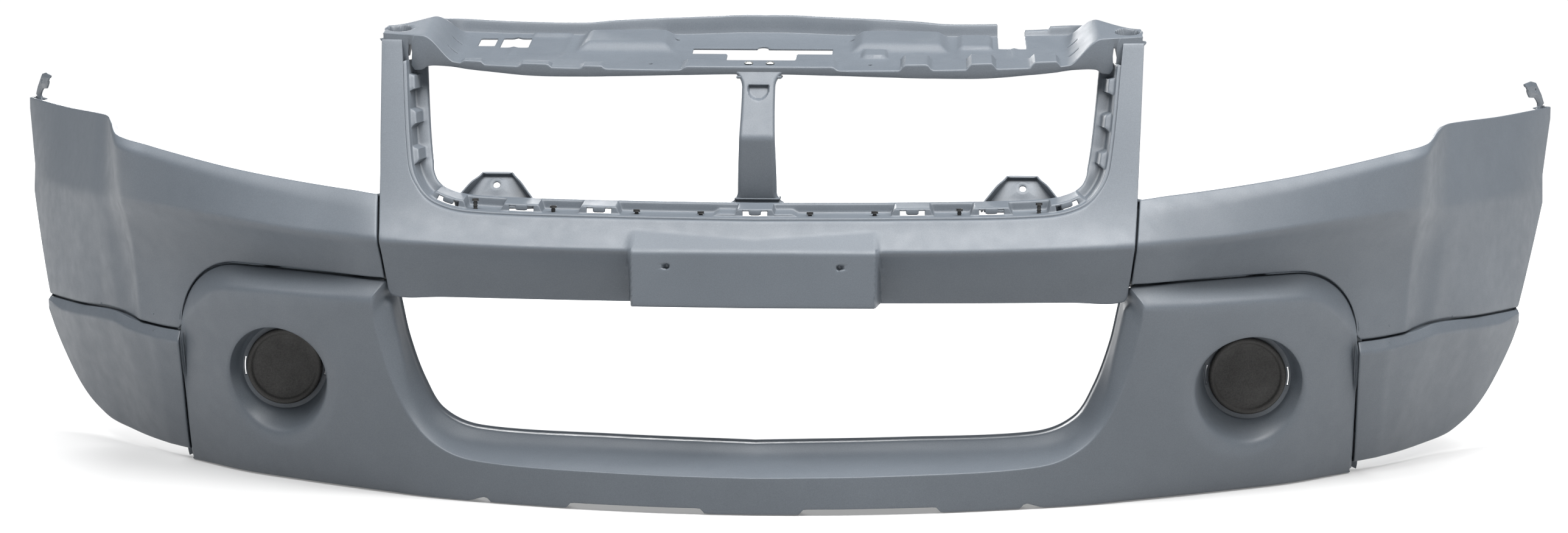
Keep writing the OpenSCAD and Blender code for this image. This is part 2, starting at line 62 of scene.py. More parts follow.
# ---- design lines: [distance from the centre, value] ----
TOP_Y = [[0, 25], [150, 33], [250, 43], [385, 62], [450, 90], [510, 118], [560, 144], [612, 175],
         [660, 206], [702, 238], [722, 290], [736, 328], [760, 366], [820, 466], [905, 598]]
TOP_Z = [[0, 291], [150, 294], [250, 299], [385, 313], [450, 319], [510, 326], [560, 333], [612, 342],
         [660, 351], [702, 360], [722, 371], [742, 376], [820, 377], [905, 382]]
CREASE_Y = [[0, -2], [150, 3], [250, 10], [380, 28], [448, 60], [482, 77], [568, 126], [639, 176],
            [693, 222], [712, 262], [728, 291], [760, 336], [800, 398], [850, 482], [891, 568], [905, 598]]
CREASE_Z = [[0, 261], [200, 262], [380, 267], [482, 272], [568, 280], [639, 285], [693, 288],
            [905, 288]]
TUCK = [[0, 50], [300, 42], [385, 32], [450, 48], [500, 57], [560, 56], [627, 48], [686, 44], [736, 1],
        [760, 2], [820, 2], [905, -6]]
GROOVE_Z = [[627, 151], [664, 152], [700, 156], [725, 161], [787, 159], [850, 157]]
FOOT_Y = [[0, -15], [50, -13], [100, -8], [180, 8], [270, 36], [340, 64], [410, 104], [507, 166],
          [565, 208], [634, 278], [650, 296]]
BROW_Y = [[0, -30], [200, -5], [300, 14], [391, 40], [450, 70], [507, 104], [552, 134], [600, 172],
          [622, 192], [650, 216]]
SEAM_X = [[206, 376], [226, 378], [267, 382], [313, 386], [468, 395]]

# ---- design lines along a panel: [share of its half length, value] ----
OUTER_X = [[0, 0], [0.5, 318], [0.6, 371], [0.64, 377], [0.72, 381], [0.8, 385], [1, 394]]
OUTER_Z = [[0, 206], [0.5, 208], [0.6, 209], [0.64, 226], [0.72, 267], [0.8, 313], [1, 468]]
INNER_X = [[0, 0], [0.25, 140], [0.5, 286], [0.6, 325], [0.68, 345], [0.76, 357], [1, 372]]
INNER_Z = [[0, 291], [0.25, 292], [0.5, 295], [0.6, 303], [0.68, 319], [0.76, 345], [1, 468]]


# ---- numbers ----
def curve(points, x):
    """A smooth line through points [place, value]."""
    places, values = np.array(points, float).T
    x = np.asarray(x, float)
    last = len(places) - 1
    rise = np.array([(values[min(k + 1, last)] - values[max(k - 1, 0)])
                     / (places[min(k + 1, last)] - places[max(k - 1, 0)]) for k in range(last + 1)])
    i = np.clip(np.searchsorted(places, x, side="right") - 1, 0, last - 1)
    h = places[i + 1] - places[i]
    t = (x - places[i]) / h
    return ((2 * t**3 - 3 * t**2 + 1) * values[i] + (t**3 - 2 * t**2 + t) * rise[i] * h
            + (3 * t**2 - 2 * t**3) * values[i + 1] + (t**3 - t**2) * rise[i + 1] * h)


def mix(a, b, t):
    return a + (b - a) * t


def step01(t):
    u = np.clip(t, 0, 1)
    return u * u * (3 - 2 * u)


def larger(a, b, soft):
    """The larger of a and b, with the corner between them rounded off."""
    blend = np.maximum(soft - np.abs(a - b), 0)
    return np.maximum(a, b) + blend * blend / (4 * soft)


def unit(v):
    return v / np.maximum(np.linalg.norm(v, axis=-1, keepdims=True), 1e-9)


def spaced(*stops, size=STEP):
    """Places from the first stop to the last, through every stop, about size apart."""
    out = [stops[0]]
    for a, b in zip(stops, stops[1:]):
        count = max(1, int(round(abs(b - a) / size)))
        out += [mix(a, b, (k + 1) / count) for k in range(count)]
    return np.array(out, float)


def points(x, y, z):
    return np.stack(np.broadcast_arrays(np.asarray(x, float), y, z), -1)


# ---- sheets: grids of points whose columns run to +X and rows to +Z, seen from the front ----
def quads_of(grid, keep=None):
    rows, cols = grid.shape[:2]
    a = np.arange(rows * cols).reshape(rows, cols)
    quads = np.stack([a[:-1, :-1], a[:-1, 1:], a[1:, 1:], a[1:, :-1]], -1)
    return (quads if keep is None else quads[keep]).reshape(-1, 4)


def ring_quads(table):
    """Quads between rows of point numbers that run all the way round."""
    ahead = np.roll(table, -1, axis=1)
    return np.stack([table[:-1], ahead[:-1], ahead[1:], table[1:]], -1).reshape(-1, 4)


def all_cells(grid):
    return np.ones((grid.shape[0] - 1, grid.shape[1] - 1), bool)


def both_ways(places):
    """Places on both sides of the middle: signed, their size, and their side as -1 or 1."""
    signed = np.concatenate([-places[:0:-1], places])
    return signed, np.abs(signed), np.where(signed < 0, -1.0, 1.0)


def loft(lines, cuts, size=STEP, bend=5):
    """Rows through lines of points. Where cuts has a length, the corner at that line is rounded off."""
    lines = [np.asarray(line, float) for line in lines]
    before, after = list(lines), list(lines)
    for i, cut in enumerate(cuts):
        if cut and 0 < i < len(lines) - 1:
            a, b = lines[i - 1] - lines[i], lines[i + 1] - lines[i]
            reach = np.minimum(np.linalg.norm(a, axis=1), np.linalg.norm(b, axis=1)) * 0.45
            reach = np.minimum(cut, reach)[:, None]
            before[i], after[i] = lines[i] + unit(a) * reach, lines[i] + unit(b) * reach
    rows = [lines[0]]
    for i in range(1, len(lines)):
        start, end = after[i - 1], before[i]
        count = max(1, int(round(np.median(np.linalg.norm(end - start, axis=1)) / size)))
        rows += [mix(start, end, (k + 1) / count) for k in range(count)]
        if cuts[i]:
            for k in range(1, bend + 1):
                t = k / bend
                rows.append((1 - t)**2 * before[i] + 2 * t * (1 - t) * lines[i] + t * t * after[i])
    return np.array(rows)


def roll_sides(grid, left, right, cut, depth, skip=3, tongue=0.0):
    """Turns the left and right edges of a grid back, along the unit vectors left and right.
    A tongue turns the left flange's end out again, behind the neighbour's flange."""
    lines = list(np.swapaxes(grid, 0, 1))
    cuts = [0] * len(lines)
    flange = lines[0] + np.asarray(left) * depth
    lines = [flange, lines[0]] + lines[skip:]
    cuts = [0, cut] + cuts[skip:]
    if tongue:
        lines = [flange - [tongue, 0, 0]] + lines
        cuts = [0, 2.5] + cuts[1:]
    lines = lines[:-skip] + [lines[-1], lines[-1] + np.asarray(right) * depth]
    cuts = cuts[:-skip] + [cut, 0]
    return np.swapaxes(loft(lines, cuts), 0, 1)


def clip_corners(grid, count=2):
    """The cells that stay when the flanges that would overlap at the four corners are left out."""
    keep = all_cells(grid)
    for r in (slice(0, count), slice(-count, None)):
        for c in (slice(0, count), slice(-count, None)):
            keep[r, c] = False
    return keep


def cut_hole(grid, keep, plan, away):
    """Cuts a hole in a grid: away(plan) is the distance from the hole's edge, below 0 inside.
    plan holds each point's two flat coordinates, and grid follows it by local interpolation."""
    rows, cols = plan.shape[:2]
    centre = (plan[:-1, :-1] + plan[1:, :-1] + plan[:-1, 1:] + plan[1:, 1:]) / 4
    inside = away(centre) < 0
    touched = np.zeros((rows, cols), bool)
    kept = np.zeros((rows, cols), bool)
    for di in (0, 1):
        for dj in (0, 1):
            corner = np.s_[di:rows - 1 + di, dj:cols - 1 + dj]
            touched[corner] |= inside
            kept[corner] |= keep & ~inside
    edge = touched & kept
    ids = np.argwhere(edge)
    here = plan[edge].copy()
    for _ in range(4):
        d = away(here)
        e = 1e-3
        slope = np.stack([away(here + [e, 0]) - d, away(here + [0, e]) - d], -1) / e
        here -= slope * (d / np.maximum((slope**2).sum(-1), 0.25))[:, None]
    # move the grid's points with the plan, along its own rows and columns
    new = grid.copy()
    for (i, j), p in zip(ids, here):
        ia, ib = max(i - 1, 0), min(i + 1, rows - 1)
        ja, jb = max(j - 1, 0), min(j + 1, cols - 1)
        across, along = plan[i, jb] - plan[i, ja], plan[ib, j] - plan[ia, j]
        s, t = np.linalg.solve(np.array([across, along]).T, p - plan[i, j])
        new[i, j] = grid[i, j] + s * (grid[i, jb] - grid[i, ja]) + t * (grid[ib, j] - grid[ia, j])
    grid[...] = new
    plan[edge] = here
    keep &= ~inside
    return grid, keep


def rounded_box(centre, half, radius):
    """Distance from a rounded rectangle's edge, as cut_hole wants it."""
    def away(p):
        q = np.abs(p - np.asarray(centre, float)) - (np.asarray(half, float) - radius)
        return np.linalg.norm(np.maximum(q, 0), axis=-1) + np.minimum(q.max(-1), 0) - radius
    return away


def disc(centre, radius):
    return lambda p: np.linalg.norm(p - np.asarray(centre, float), axis=-1) - radius


def thicken(points_in, quads, thickness=SKIN, rim=4):
    """A closed wall behind a sheet of quads, with rim flats round each edge. Returns its points and quads."""
    used, quads = np.unique(quads, return_inverse=True)
    quads = quads.reshape(-1, 4)
    outer = points_in[used]
    count = len(outer)
    a, b, c, d = (outer[quads[:, k]] for k in range(4))
    facing = np.cross(c - a, d - b)
    normal = np.zeros_like(outer)
    for k in range(4):
        np.add.at(normal, quads[:, k], facing)
    normal = unit(normal)
    edges = np.stack([quads, np.roll(quads, -1, axis=1)], -1).reshape(-1, 2)
    free = ~np.isin(edges[:, 0] * count + edges[:, 1], edges[:, 1] * count + edges[:, 0])
    edges = edges[free]
    ahead, behind = np.arange(count), np.arange(count)
    ahead[edges[:, 0]] = edges[:, 1]
    behind[edges[:, 1]] = edges[:, 0]
    rim_ids = np.unique(edges)
    out = np.cross(unit(outer[ahead[rim_ids]] - outer[behind[rim_ids]]), normal[rim_ids])
    place = np.zeros(count, int)
    place[rim_ids] = np.arange(len(rim_ids))
    middle = outer[rim_ids] - normal[rim_ids] * thickness / 2
    layers = [outer, outer - normal * thickness]
    ring_start = []
    total = 2 * count
    for k in range(1, rim):
        turn = math.pi * k / rim
        layers.append(middle + (normal[rim_ids] * math.cos(turn) + out * math.sin(turn)) * thickness / 2)
        ring_start.append(total)
        total += len(rim_ids)
    rings = [lambda e: e] + [lambda e, s=s: place[e] + s for s in ring_start] + [lambda e: e + count]
    faces = [quads, quads[:, ::-1] + count]
    for low, high in zip(rings, rings[1:]):
        start, end = edges.T
        faces.append(np.stack([low(end), low(start), high(start), high(end)], -1))
    return np.concatenate(layers), np.concatenate(faces)


def wall_of(grid, keep=None, thickness=SKIN):
    """A closed wall behind the kept cells of a grid."""
    return thicken(grid.reshape(-1, 3), quads_of(grid, keep), thickness)


def joined(*solids):
    """Several (points, quads) pairs as one."""
    all_points, all_quads, start = [], [], 0
    for p, q in solids:
        all_points.append(p)
        all_quads.append(np.asarray(q) + start)
        start += len(p)
    return np.concatenate(all_points), np.concatenate(all_quads)


def mirrored(solid):
    p, q = solid
    return p * [-1, 1, 1], q[:, ::-1]


def lathe(profile, centre, axis, turns=40):
    """A closed solid turned from a closed profile of (radius, height) corners about an axis."""
    axis = unit(np.asarray(axis, float))
    side = unit(np.cross(axis, [0.31, 0.17, 0.93]))
    other = np.cross(axis, side)
    angle = np.linspace(0, 2 * math.pi, turns, endpoint=False)
    ring = np.cos(angle)[:, None] * side + np.sin(angle)[:, None] * other
    profile = np.array(profile, float)
    p = np.asarray(centre, float) + profile[:, 0, None, None] * ring + profile[:, 1, None, None] * axis
    table = np.arange(len(profile) * turns).reshape(-1, turns)
    quads = ring_quads(np.concatenate([table, table[:1]]))
    p = p.reshape(-1, 3)
    a, b, c, d = (p[quads[:, corner]] for corner in range(4))
    volume = np.einsum("ij,ij->i", (a + b + c + d) / 4 - p[0], np.cross(c - a, d - b)).sum()
    return p, quads if volume > 0 else quads[:, ::-1]


def placed(name, data):
    obj = bpy.data.objects.new(name, data)
    bpy.context.scene.collection.objects.link(obj)
    return obj


def piece(name, nodes, *solids, slot="primer_skin", body="cover"):
    """Makes one mesh object of the solids, gives it its finish and lets it stand for its CAD nodes."""
    verts, quads = joined(*solids)
    mesh = bpy.data.meshes.new(name)
    mesh.from_pydata(((verts - [0, MID_DEPTH, 0]) * MM).tolist(), [], quads.tolist())
    mesh.validate()
    mesh.shade_smooth()
    mesh.set_sharp_from_angle(angle=math.radians(SHARP))
    mesh.materials.append(FINISH[slot])
    obj = placed(name, mesh)
    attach(obj, body)
    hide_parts(*nodes)


# ---- materials ----
def nodes_of(name):
    material = bpy.data.materials.new(name)
    material.use_nodes = True
    tree = material.node_tree
    return material, tree, tree.nodes["Principled BSDF"]


def noise(tree, scale, detail=4.0, roughness=0.55, stretch=None):
    node = tree.nodes.new("ShaderNodeTexNoise")
    node.inputs["Scale"].default_value = scale
    node.inputs["Detail"].default_value = detail
    node.inputs["Roughness"].default_value = roughness
    place = tree.nodes.new("ShaderNodeTexCoord").outputs["Object"]
    if stretch:
        mapping = tree.nodes.new("ShaderNodeMapping")
        mapping.inputs["Scale"].default_value = stretch
        tree.links.new(place, mapping.inputs["Vector"])
        place = mapping.outputs["Vector"]
    tree.links.new(place, node.inputs["Vector"])
    return node.outputs["Fac"]


def ramp(tree, source, stops):
    node = tree.nodes.new("ShaderNodeValToRGB")
    while len(node.color_ramp.elements) < len(stops):
        node.color_ramp.elements.new(0.5)
    for element, (place, colour) in zip(node.color_ramp.elements, stops):
        element.position = place
        element.color = (*colour, 1)
    tree.links.new(source, node.inputs["Fac"])
    return node.outputs["Color"]


def bump(tree, shader, layers):
    """Bump from (height, distance in metres, strength) layers, the coarse ones first."""
    normal = None
    for height, distance, strength in layers:
        node = tree.nodes.new("ShaderNodeBump")
        node.inputs["Distance"].default_value = distance
        node.inputs["Strength"].default_value = strength
        tree.links.new(height, node.inputs["Height"])
        if normal:
            tree.links.new(normal, node.inputs["Normal"])
        normal = node.outputs["Normal"]
    tree.links.new(normal, shader.inputs["Normal"])


def grey(v):
    return (v, v, v)


def moulding(name, shade, rough, grain, metallic=0.0, light_at=0.7):
    """Finish from a shade and a roughness, each a noise scale and two ends, and from layers of grain,
    each a noise scale, a distance and a strength."""
    material, tree, shader = nodes_of(name)
    scale, dark, light, *rest = shade
    tone = ramp(tree, noise(tree, scale, *rest), [(0.3, dark), (light_at, light)])
    tree.links.new(tone, shader.inputs["Base Color"])
    scale, smooth, dull = rough
    worn = ramp(tree, noise(tree, scale), [(0.3, grey(smooth)), (0.7, grey(dull))])
    tree.links.new(worn, shader.inputs["Roughness"])
    shader.inputs["Metallic"].default_value = metallic
    bump(tree, shader, [(noise(tree, size, *rest), distance, strength)
                        for size, distance, strength, *rest in grain])
    return material, tree, shader


def primer_finish():
    """Blue-grey factory primer: satin, finely grained, a little cloudy, with a few pale scuffs."""
    material, tree, shader = moulding(
        "primer", (9.0, (0.088, 0.102, 0.119), (0.098, 0.113, 0.131)), (60.0, 0.44, 0.54),
        [(22.0, 0.0006, 0.12), (1400.0, 0.00012, 0.5, 3.0, 0.7)])
    cloud = shader.inputs["Base Color"].links[0].from_socket
    grain = ramp(tree, noise(tree, 900.0, 2.0, 0.7), [(0.3, grey(0.88)), (0.7, grey(1.1))])
    scuff = ramp(tree, noise(tree, 14.0, 6.0, 0.7, (1, 1, 9)), [(0.74, grey(0)), (0.77, grey(0.2))])
    tinted = tree.nodes.new("ShaderNodeMix")
    tinted.data_type, tinted.blend_type = "RGBA", "MULTIPLY"
    tinted.inputs["Factor"].default_value = 1
    tree.links.new(cloud, tinted.inputs["A"])
    tree.links.new(grain, tinted.inputs["B"])
    worn = tree.nodes.new("ShaderNodeMix")
    worn.data_type = "RGBA"
    worn.inputs["B"].default_value = (0.30, 0.33, 0.36, 1)
    tree.links.new(scuff, worn.inputs["Factor"])
    tree.links.new(tinted.outputs["Result"], worn.inputs["A"])
    tree.links.new(worn.outputs["Result"], shader.inputs["Base Color"])
    return material


FINISH = {
    "primer_skin": primer_finish(),
    "blank_plastic": moulding(
        "black_moulding", (700.0, (0.020, 0.019, 0.018), (0.050, 0.048, 0.045), 3.0, 0.7), (90.0, 0.56, 0.7),
        [(1100.0, 0.0002, 0.6, 3.0, 0.7)], light_at=0.72)[0],
    "zinc_steel": moulding(
        "zinc_plate", (160.0, (0.50, 0.50, 0.46), (0.66, 0.67, 0.66)), (400.0, 0.28, 0.42),
        [(1200.0, 0.0001, 0.3)], metallic=1.0)[0],
    "clip_plastic": moulding(
        "black_nylon", (300.0, grey(0.012), grey(0.022)), (200.0, 0.38, 0.5), [(900.0, 0.0001, 0.3)])[0],
}


# ---- the painted body's surface ----
def body_y(x, z):
    """Depth of the body at a distance x from the centre: hood slope, crease and tucked-in lower face."""
    sway = np.maximum(curve(CREASE_Z, x) - z, 0) * 0.13 * np.exp(-((x - 722) / 45)**2)
    xs = x + sway
    zt, zc, yt, yc = curve(TOP_Z, x), curve(CREASE_Z, x), curve(TOP_Y, x), curve(CREASE_Y, xs)
    bevel = 9 * (1 - step01((x - 700) / 40))
    slope = (yt - bevel - curve(CREASE_Y, x)) / (zt - bevel * 1.06 - zc)
    upper = yc + np.where(z < zc, np.maximum(slope, 0.25), slope) * (z - zc)
    lower = yc + curve(TUCK, xs) * (1 - np.exp(np.minimum(z - zc, 12) / 35))
    face = larger(upper, lower, 3 + 7 * (1 - step01((x - 690) / 50)))
    return larger(face, yt + (z - zt) * 0.95, np.maximum(bevel * 0.4, 0.01))


def hood_y(x, z):
    """The same surface in the middle panel, where the hood slope runs on into the pillars."""
    zt, zc, yt, yc = curve(TOP_Z, x), curve(CREASE_Z, x), curve(TOP_Y, x), curve(CREASE_Y, x)
    h = z - zc
    upper = yc + 0.44 * h + (yt - yc - 0.44 * (zt - zc)) * (1 - np.exp(-np.maximum(h, -12) / 25))
    lower = yc + curve(TUCK, x) * (1 - np.exp(np.minimum(h, 12) / 35))
    return larger(upper, lower, 10)


def pod_y(x, z):
    return mix(curve(FOOT_Y, x), curve(BROW_Y, x), (np.maximum(z, 0) / 205)**0.9)


def skirt_y(x, z):
    """Face of the corner skirt, with the soft ridge that leans towards the middle of the car."""
    zg = curve(GROOVE_Z, np.minimum(x, 850))
    shifts = np.linspace(-36, 36, 9)
    spread = step01((x - 640) / 40)
    base = sum(body_y(np.clip(x + d * spread, 600, 905), zg) for d in shifts) / len(shifts)
    base = mix(base, body_y(x, zg), step01((x - 770) / 40))
    ridge = 716 - (140 - z) * 0.37
    tent = np.maximum(1 - larger(np.abs(x - ridge), 0 * x, 16) / 62, 0)
    return base - 8 + 0.52 * np.maximum(zg - 12 - z, 0) - 7 * tent * step01(z / 50)


# ---- panels ----
WING_END = 902.5  # distance of the wing's rear edge from the centre plane


def wing():
    """Right wing: the body from the seam to the wheel arch, with rolled edges all round."""
    flat = spaced(378, 557)[:-1]
    arc = np.linspace(0, math.pi / 2, 24)
    tail = np.concatenate([spaced(640, 690)[1:], spaced(690, 770, size=2.5)[1:], spaced(770, WING_END)[1:]])
    tail_x = curve([[640, 628.6], [690, 683], [745, 742], [820, 800], [WING_END, 849]], tail)
    foot_x = np.concatenate([flat, 557 + 71.4 * np.sin(arc), tail_x])
    foot_z = np.concatenate([mix(227.8, 230.6, (flat - 378) / 179), 157 + 73.6 * np.cos(arc),
                             curve(GROOVE_Z, np.minimum(tail_x, 850)) + 1.2])
    top_x = np.concatenate([flat, mix(557, 640, arc / arc[-1]), tail])
    crease_x = np.where(top_x > 745, mix(745, 890, (top_x - 745) / (WING_END - 745)), top_x)
    crease_z, top_z = curve(CREASE_Z, crease_x), curve(TOP_Z, top_x)
    pull = 1 - step01((top_x - 378) / 40)

    def line(x, z):
        x = x + (curve(SEAM_X, z) + 0.5 - 378) * pull
        return points(x, body_y(x, z), z)

    lines = []
    for v in np.linspace(0, 1, 16)[:-1]:
        lines.append(line(mix(foot_x, crease_x, v), mix(foot_z, crease_z - 16, v)))
    for v in np.linspace(-16, 16, 17):
        lines.append(line(crease_x, crease_z + v))
    for v in np.linspace(0, 1, 10)[1:]:
        lines.append(line(mix(crease_x, top_x, v), mix(crease_z + 16, top_z - 14, v)))
    for v in np.linspace(14, 0, 9)[1:]:
        lines.append(line(top_x, top_z - v))
    # the edges fold back in the middle and inwards towards the wheel arch
    inward = step01((top_x - 690) / 130)[:, None]
    under = unit(mix(np.array([0, 1.0, 0]), np.array([-0.87, 0.5, 0]), inward))
    over = unit(mix(np.array([0, 0.97, -0.22]), np.array([-0.94, 0.1, -0.22]), inward))
    lines = [lines[0] + under * 11] + [lines[0]] + lines[2:-2] + [lines[-1]]
    lines.append(lines[-1] + over * 14)
    cuts = [0, 3.2] + [0] * (len(lines) - 4) + [3.5, 0]
    grid = loft(lines, cuts, size=9)
    grid = roll_sides(grid, [0.02, 1, 0], [-0.99, 0.1, 0], 3, 15, tongue=5.5)
    return wall_of(grid, clip_corners(grid))


def corner_skirt():
    """Right corner skirt under the wing, from the lamp pod to the wheel arch."""
    base = [[631, 10], [646, 10.5], [684, 12], [726, 16], [758, 22], [776, 31], [794, 45], [812, 66],
            [829, 95], [840, 118], [846, 134], [850, 148]]
    x0 = np.concatenate([spaced(629, 800), spaced(800, 849, size=2.5)[1:]])
    low, high = curve(base, x0), curve(GROOVE_Z, x0) - 1.3

    def line(z, fall=0.0):
        x = mix(mix(637, 629, z / 152) + 1.4, 660, (x0 - 629) / 31)
        x = np.where(x0 > 660, x0, x)
        return points(x, skirt_y(x, z) + fall, z)

    lip = 11 * (1 - step01((x0 - 815) / 34) * 0.75)
    lines = [line(mix(low, high - lip, v)) for v in np.linspace(0, 1, 28)]
    top = line(high, 9.6)
    flange = top + np.array([0, 9.0, 0])
    lines = [lines[0] + np.array([0, 14.0, 2]), lines[0]] + lines[2:-2]
    lines += [line(high - lip, 0), top, flange, flange + np.array([0, 0.5, 7])]
    cuts = [0, 5] + [0] * (len(lines) - 6) + [4, 1.6, 1.6, 0]
    grid = loft(lines, cuts, size=6)
    grid = roll_sides(grid, [0, 1, 0], [-0.8, 0.6, 0], 3.5, 9)
    return wall_of(grid, clip_corners(grid))


PLATE_HALF, PLATE_TOP, PLATE_Y = 124.0, 262.0, -5.5
PLATE_HOLE = (86.0, 247.5)


def centre_fascia():
    """U-shaped middle panel: the band with its crease and plate pad, and a pillar at each end."""
    half = [0.0]
    for a, b, size in [(0, 79, 4), (79, 93, 1.2), (93, 119, 4), (119, 133, 1.5), (133, 318, 4)]:
        half += list(spaced(a, b, size=size)[1:])
    shares = np.interp(half, curve(OUTER_X, np.linspace(0, 0.5, 400)), np.linspace(0, 0.5, 400))
    shares = np.concatenate([shares, np.linspace(0.5, 0.66, 40)[1:], np.linspace(0.66, 1, 70)[1:]])
    _, a, side = both_ways(shares)
    ox, oz = curve(OUTER_X, a) - 0.5 * step01((a - 0.6) * 20), curve(OUTER_Z, a)
    ix, iz = curve(INNER_X, a), curve(INNER_Z, a)

    def line(v):
        x, z = mix(ox, ix, v), mix(oz, iz, v)
        y = hood_y(x, z)
        inside = step01((PLATE_HALF + 3 - x) / 6)
        pad = larger(PLATE_Y + 0 * z, PLATE_Y + (z - PLATE_TOP) * 1.25, 3)
        y = mix(y, np.minimum(y, pad), inside)
        hole = np.hypot(x - PLATE_HOLE[0], z - PLATE_HOLE[1])
        y = y + 5 * step01((3.4 - hole) / 1.8)
        return points(side * x, y, z)

    rows = np.concatenate([np.linspace(0, 0.42, 13), np.linspace(0.42, 0.56, 13)[1:],
                           np.linspace(0.56, 1, 20)[1:]])
    lines = [line(v) for v in rows]
    first = lines[0]
    behind = points(first[:, 0], np.maximum(hood_y(np.abs(first[:, 0]), first[:, 2]), first[:, 1]) + 12,
                    first[:, 2] + 1)
    inner = points(side * (ix + 0.5), lines[-1][:, 1] + 10, iz + 1)
    lines = [behind, first] + lines[2:-2] + [lines[-1], inner]
    cuts = [0, 4] + [0] * (len(lines) - 4) + [3, 0]
    grid = loft(lines, cuts, size=9)
    grid = roll_sides(grid, [0, 1, -0.1], [0, 1, -0.1], 3, 12)
    return wall_of(grid, clip_corners(grid))


# Lower fascia: its foot line, the ridge of its bevel, the bevel's inner fold and its rim
FASCIA_FOOT_X = [[0, 0], [0.35, 300], [0.6, 398], [0.84, 548], [0.92, 600], [1, 632]]
RIDGE_X = [[0, 0], [0.2, 150], [0.35, 283], [0.42, 325], [0.48, 354], [0.53, 376], [0.56, 388],
           [0.58, 391], [0.6, 397], [0.84, 552], [0.88, 588], [0.92, 623], [1, 632.5]]
RIDGE_Z = [[0, 37.5], [0.2, 39], [0.35, 43], [0.42, 56], [0.48, 84], [0.53, 132], [0.56, 182],
           [0.58, 205], [0.6, 205.3], [0.84, 205], [0.88, 195], [0.92, 152], [1, 6]]
FOLD_X = [[0, 0], [0.2, 150], [0.35, 290], [0.42, 330], [0.48, 353], [0.53, 364], [0.56, 373],
          [0.58, 377]]
FOLD_Y = [[0, 32], [0.2, 50], [0.35, 70], [0.42, 68], [0.48, 64], [0.53, 58], [0.56, 54], [0.58, 50]]
FOLD_Z = [[0, 51.5], [0.2, 53], [0.35, 57], [0.42, 74], [0.48, 110], [0.53, 160], [0.56, 204],
          [0.58, 217]]
RIM_X = [[0, 0], [0.2, 150], [0.35, 283], [0.42, 325], [0.48, 346], [0.53, 362], [0.56, 371],
         [0.58, 376], [0.6, 384], [0.84, 557]]
RIM_Y = [[0, 42], [0.2, 62], [0.35, 82], [0.56, 80], [1, 80]]
RIM_Z = [[0, 62.5], [0.2, 64], [0.35, 68], [0.42, 85], [0.48, 119], [0.53, 165], [0.56, 207],
         [0.58, 222], [0.6, 225], [0.84, 228]]
FOOT_RUN = 857  # length of the lower edge that one share stands for, along its middle
POD_CORNER = (0.84, 0.92)  # shares between which the outline rounds the pod's upper corner
FOG = np.array([511.0, 188.0, 117.0])  # centre of the seat of a lamp blank
LEDGE = (45.6, 45.1, 41.7, 39.4)  # radii of the ledge round a blank, where the slots are cut
SLOT_HALF = 11  # half the height of such a slot


def rim_xz(a):
    """The lower fascia's outline: the opening's edge, over the pod, round its corner, down its side."""
    start, end = POD_CORNER
    corner = np.clip((a - start) / (end - start), 0, 1) * math.pi / 2
    down = np.clip((a - end) / (1 - end), 0, 1)
    before = np.minimum(a, start)
    x = np.where(a < start, curve(RIM_X, before), mix(557 + 71.2 * np.sin(corner), 636.3, down))
    z = np.where(a < start, curve(RIM_Z, before), mix(157 + 71 * np.cos(corner), 4, down))
    return x, z


def lower_fascia():
    """Valance and both lamp pods in one moulding, with the dished lamp recesses."""
    stops = [(0, 0.35, 72), (0.35, 0.56, 56), (0.56, 0.62, 14), (0.62, 0.84, 44), (0.84, 0.92, 26),
             (0.92, 1, 34)]
    shares = np.concatenate([[0]] + [np.linspace(a, b, n + 1)[1:] for a, b, n in stops])
    _, a, side = both_ways(shares)
    rx, rz = rim_xz(a)
    bx, bz = curve(RIDGE_X, a), curve(RIDGE_Z, a)
    fx = curve(FASCIA_FOOT_X, a)
    on_pod = step01((a - 0.56) * 40)
    on_side = step01((a - 0.9) * 40)
    edge_y = mix(body_y(rx, np.maximum(rz, 150)) + 3, skirt_y(rx, rz) + 3, on_side)
    rim_y = mix(curve(RIM_Y, a), edge_y, on_pod)
    # raised and sunk stretches of the lower edge, under the middle
    run = a * FOOT_RUN
    notch = step01((run - 45) / 6) * (1 - step01((run - 174) / 6)) + step01((run - 262) / 7)
    foot_z = 5.5 * notch * (1 - step01((a - 0.31) * 30))

    ridge = points(bx, pod_y(bx, bz), bz)
    rim = points(rx, rim_y, rz)
    fold_on = 1 - step01((a - 0.555) * 50)
    inner = points(*(curve(line, np.minimum(a, 0.58)) for line in (FOLD_X, FOLD_Y, FOLD_Z)))
    middle = mix(ridge, rim, 0.5) - points(0, 1.5, 0) * (1 - on_side)[:, None]
    fold = mix(middle, inner, fold_on[:, None])

    def face(v):
        x, z = mix(fx, bx, v), mix(foot_z, bz, v)
        return points(x, pod_y(x, z), z)

    lines = [face(0) + points(0, 24, 0), face(0)]
    lines += [face(v) for v in np.linspace(0, 1, 46)[3:-3]]
    # the edge flange, whose end turns out behind the flanges of the wing and the corner skirt
    out = unit((rim - ridge) * [1, 0, 1])
    flange = rim + points(0, 14, 0)
    lines += [ridge, fold, rim, flange, flange + out * (0.6 + 6.4 * step01((a - 0.59) * 40))[:, None]]
    cuts = [0, 5] + [0] * (len(lines) - 7) + [7, 6, 3, 2, 0]
    return loft(lines, cuts, size=5) * points(side, 1, 1)


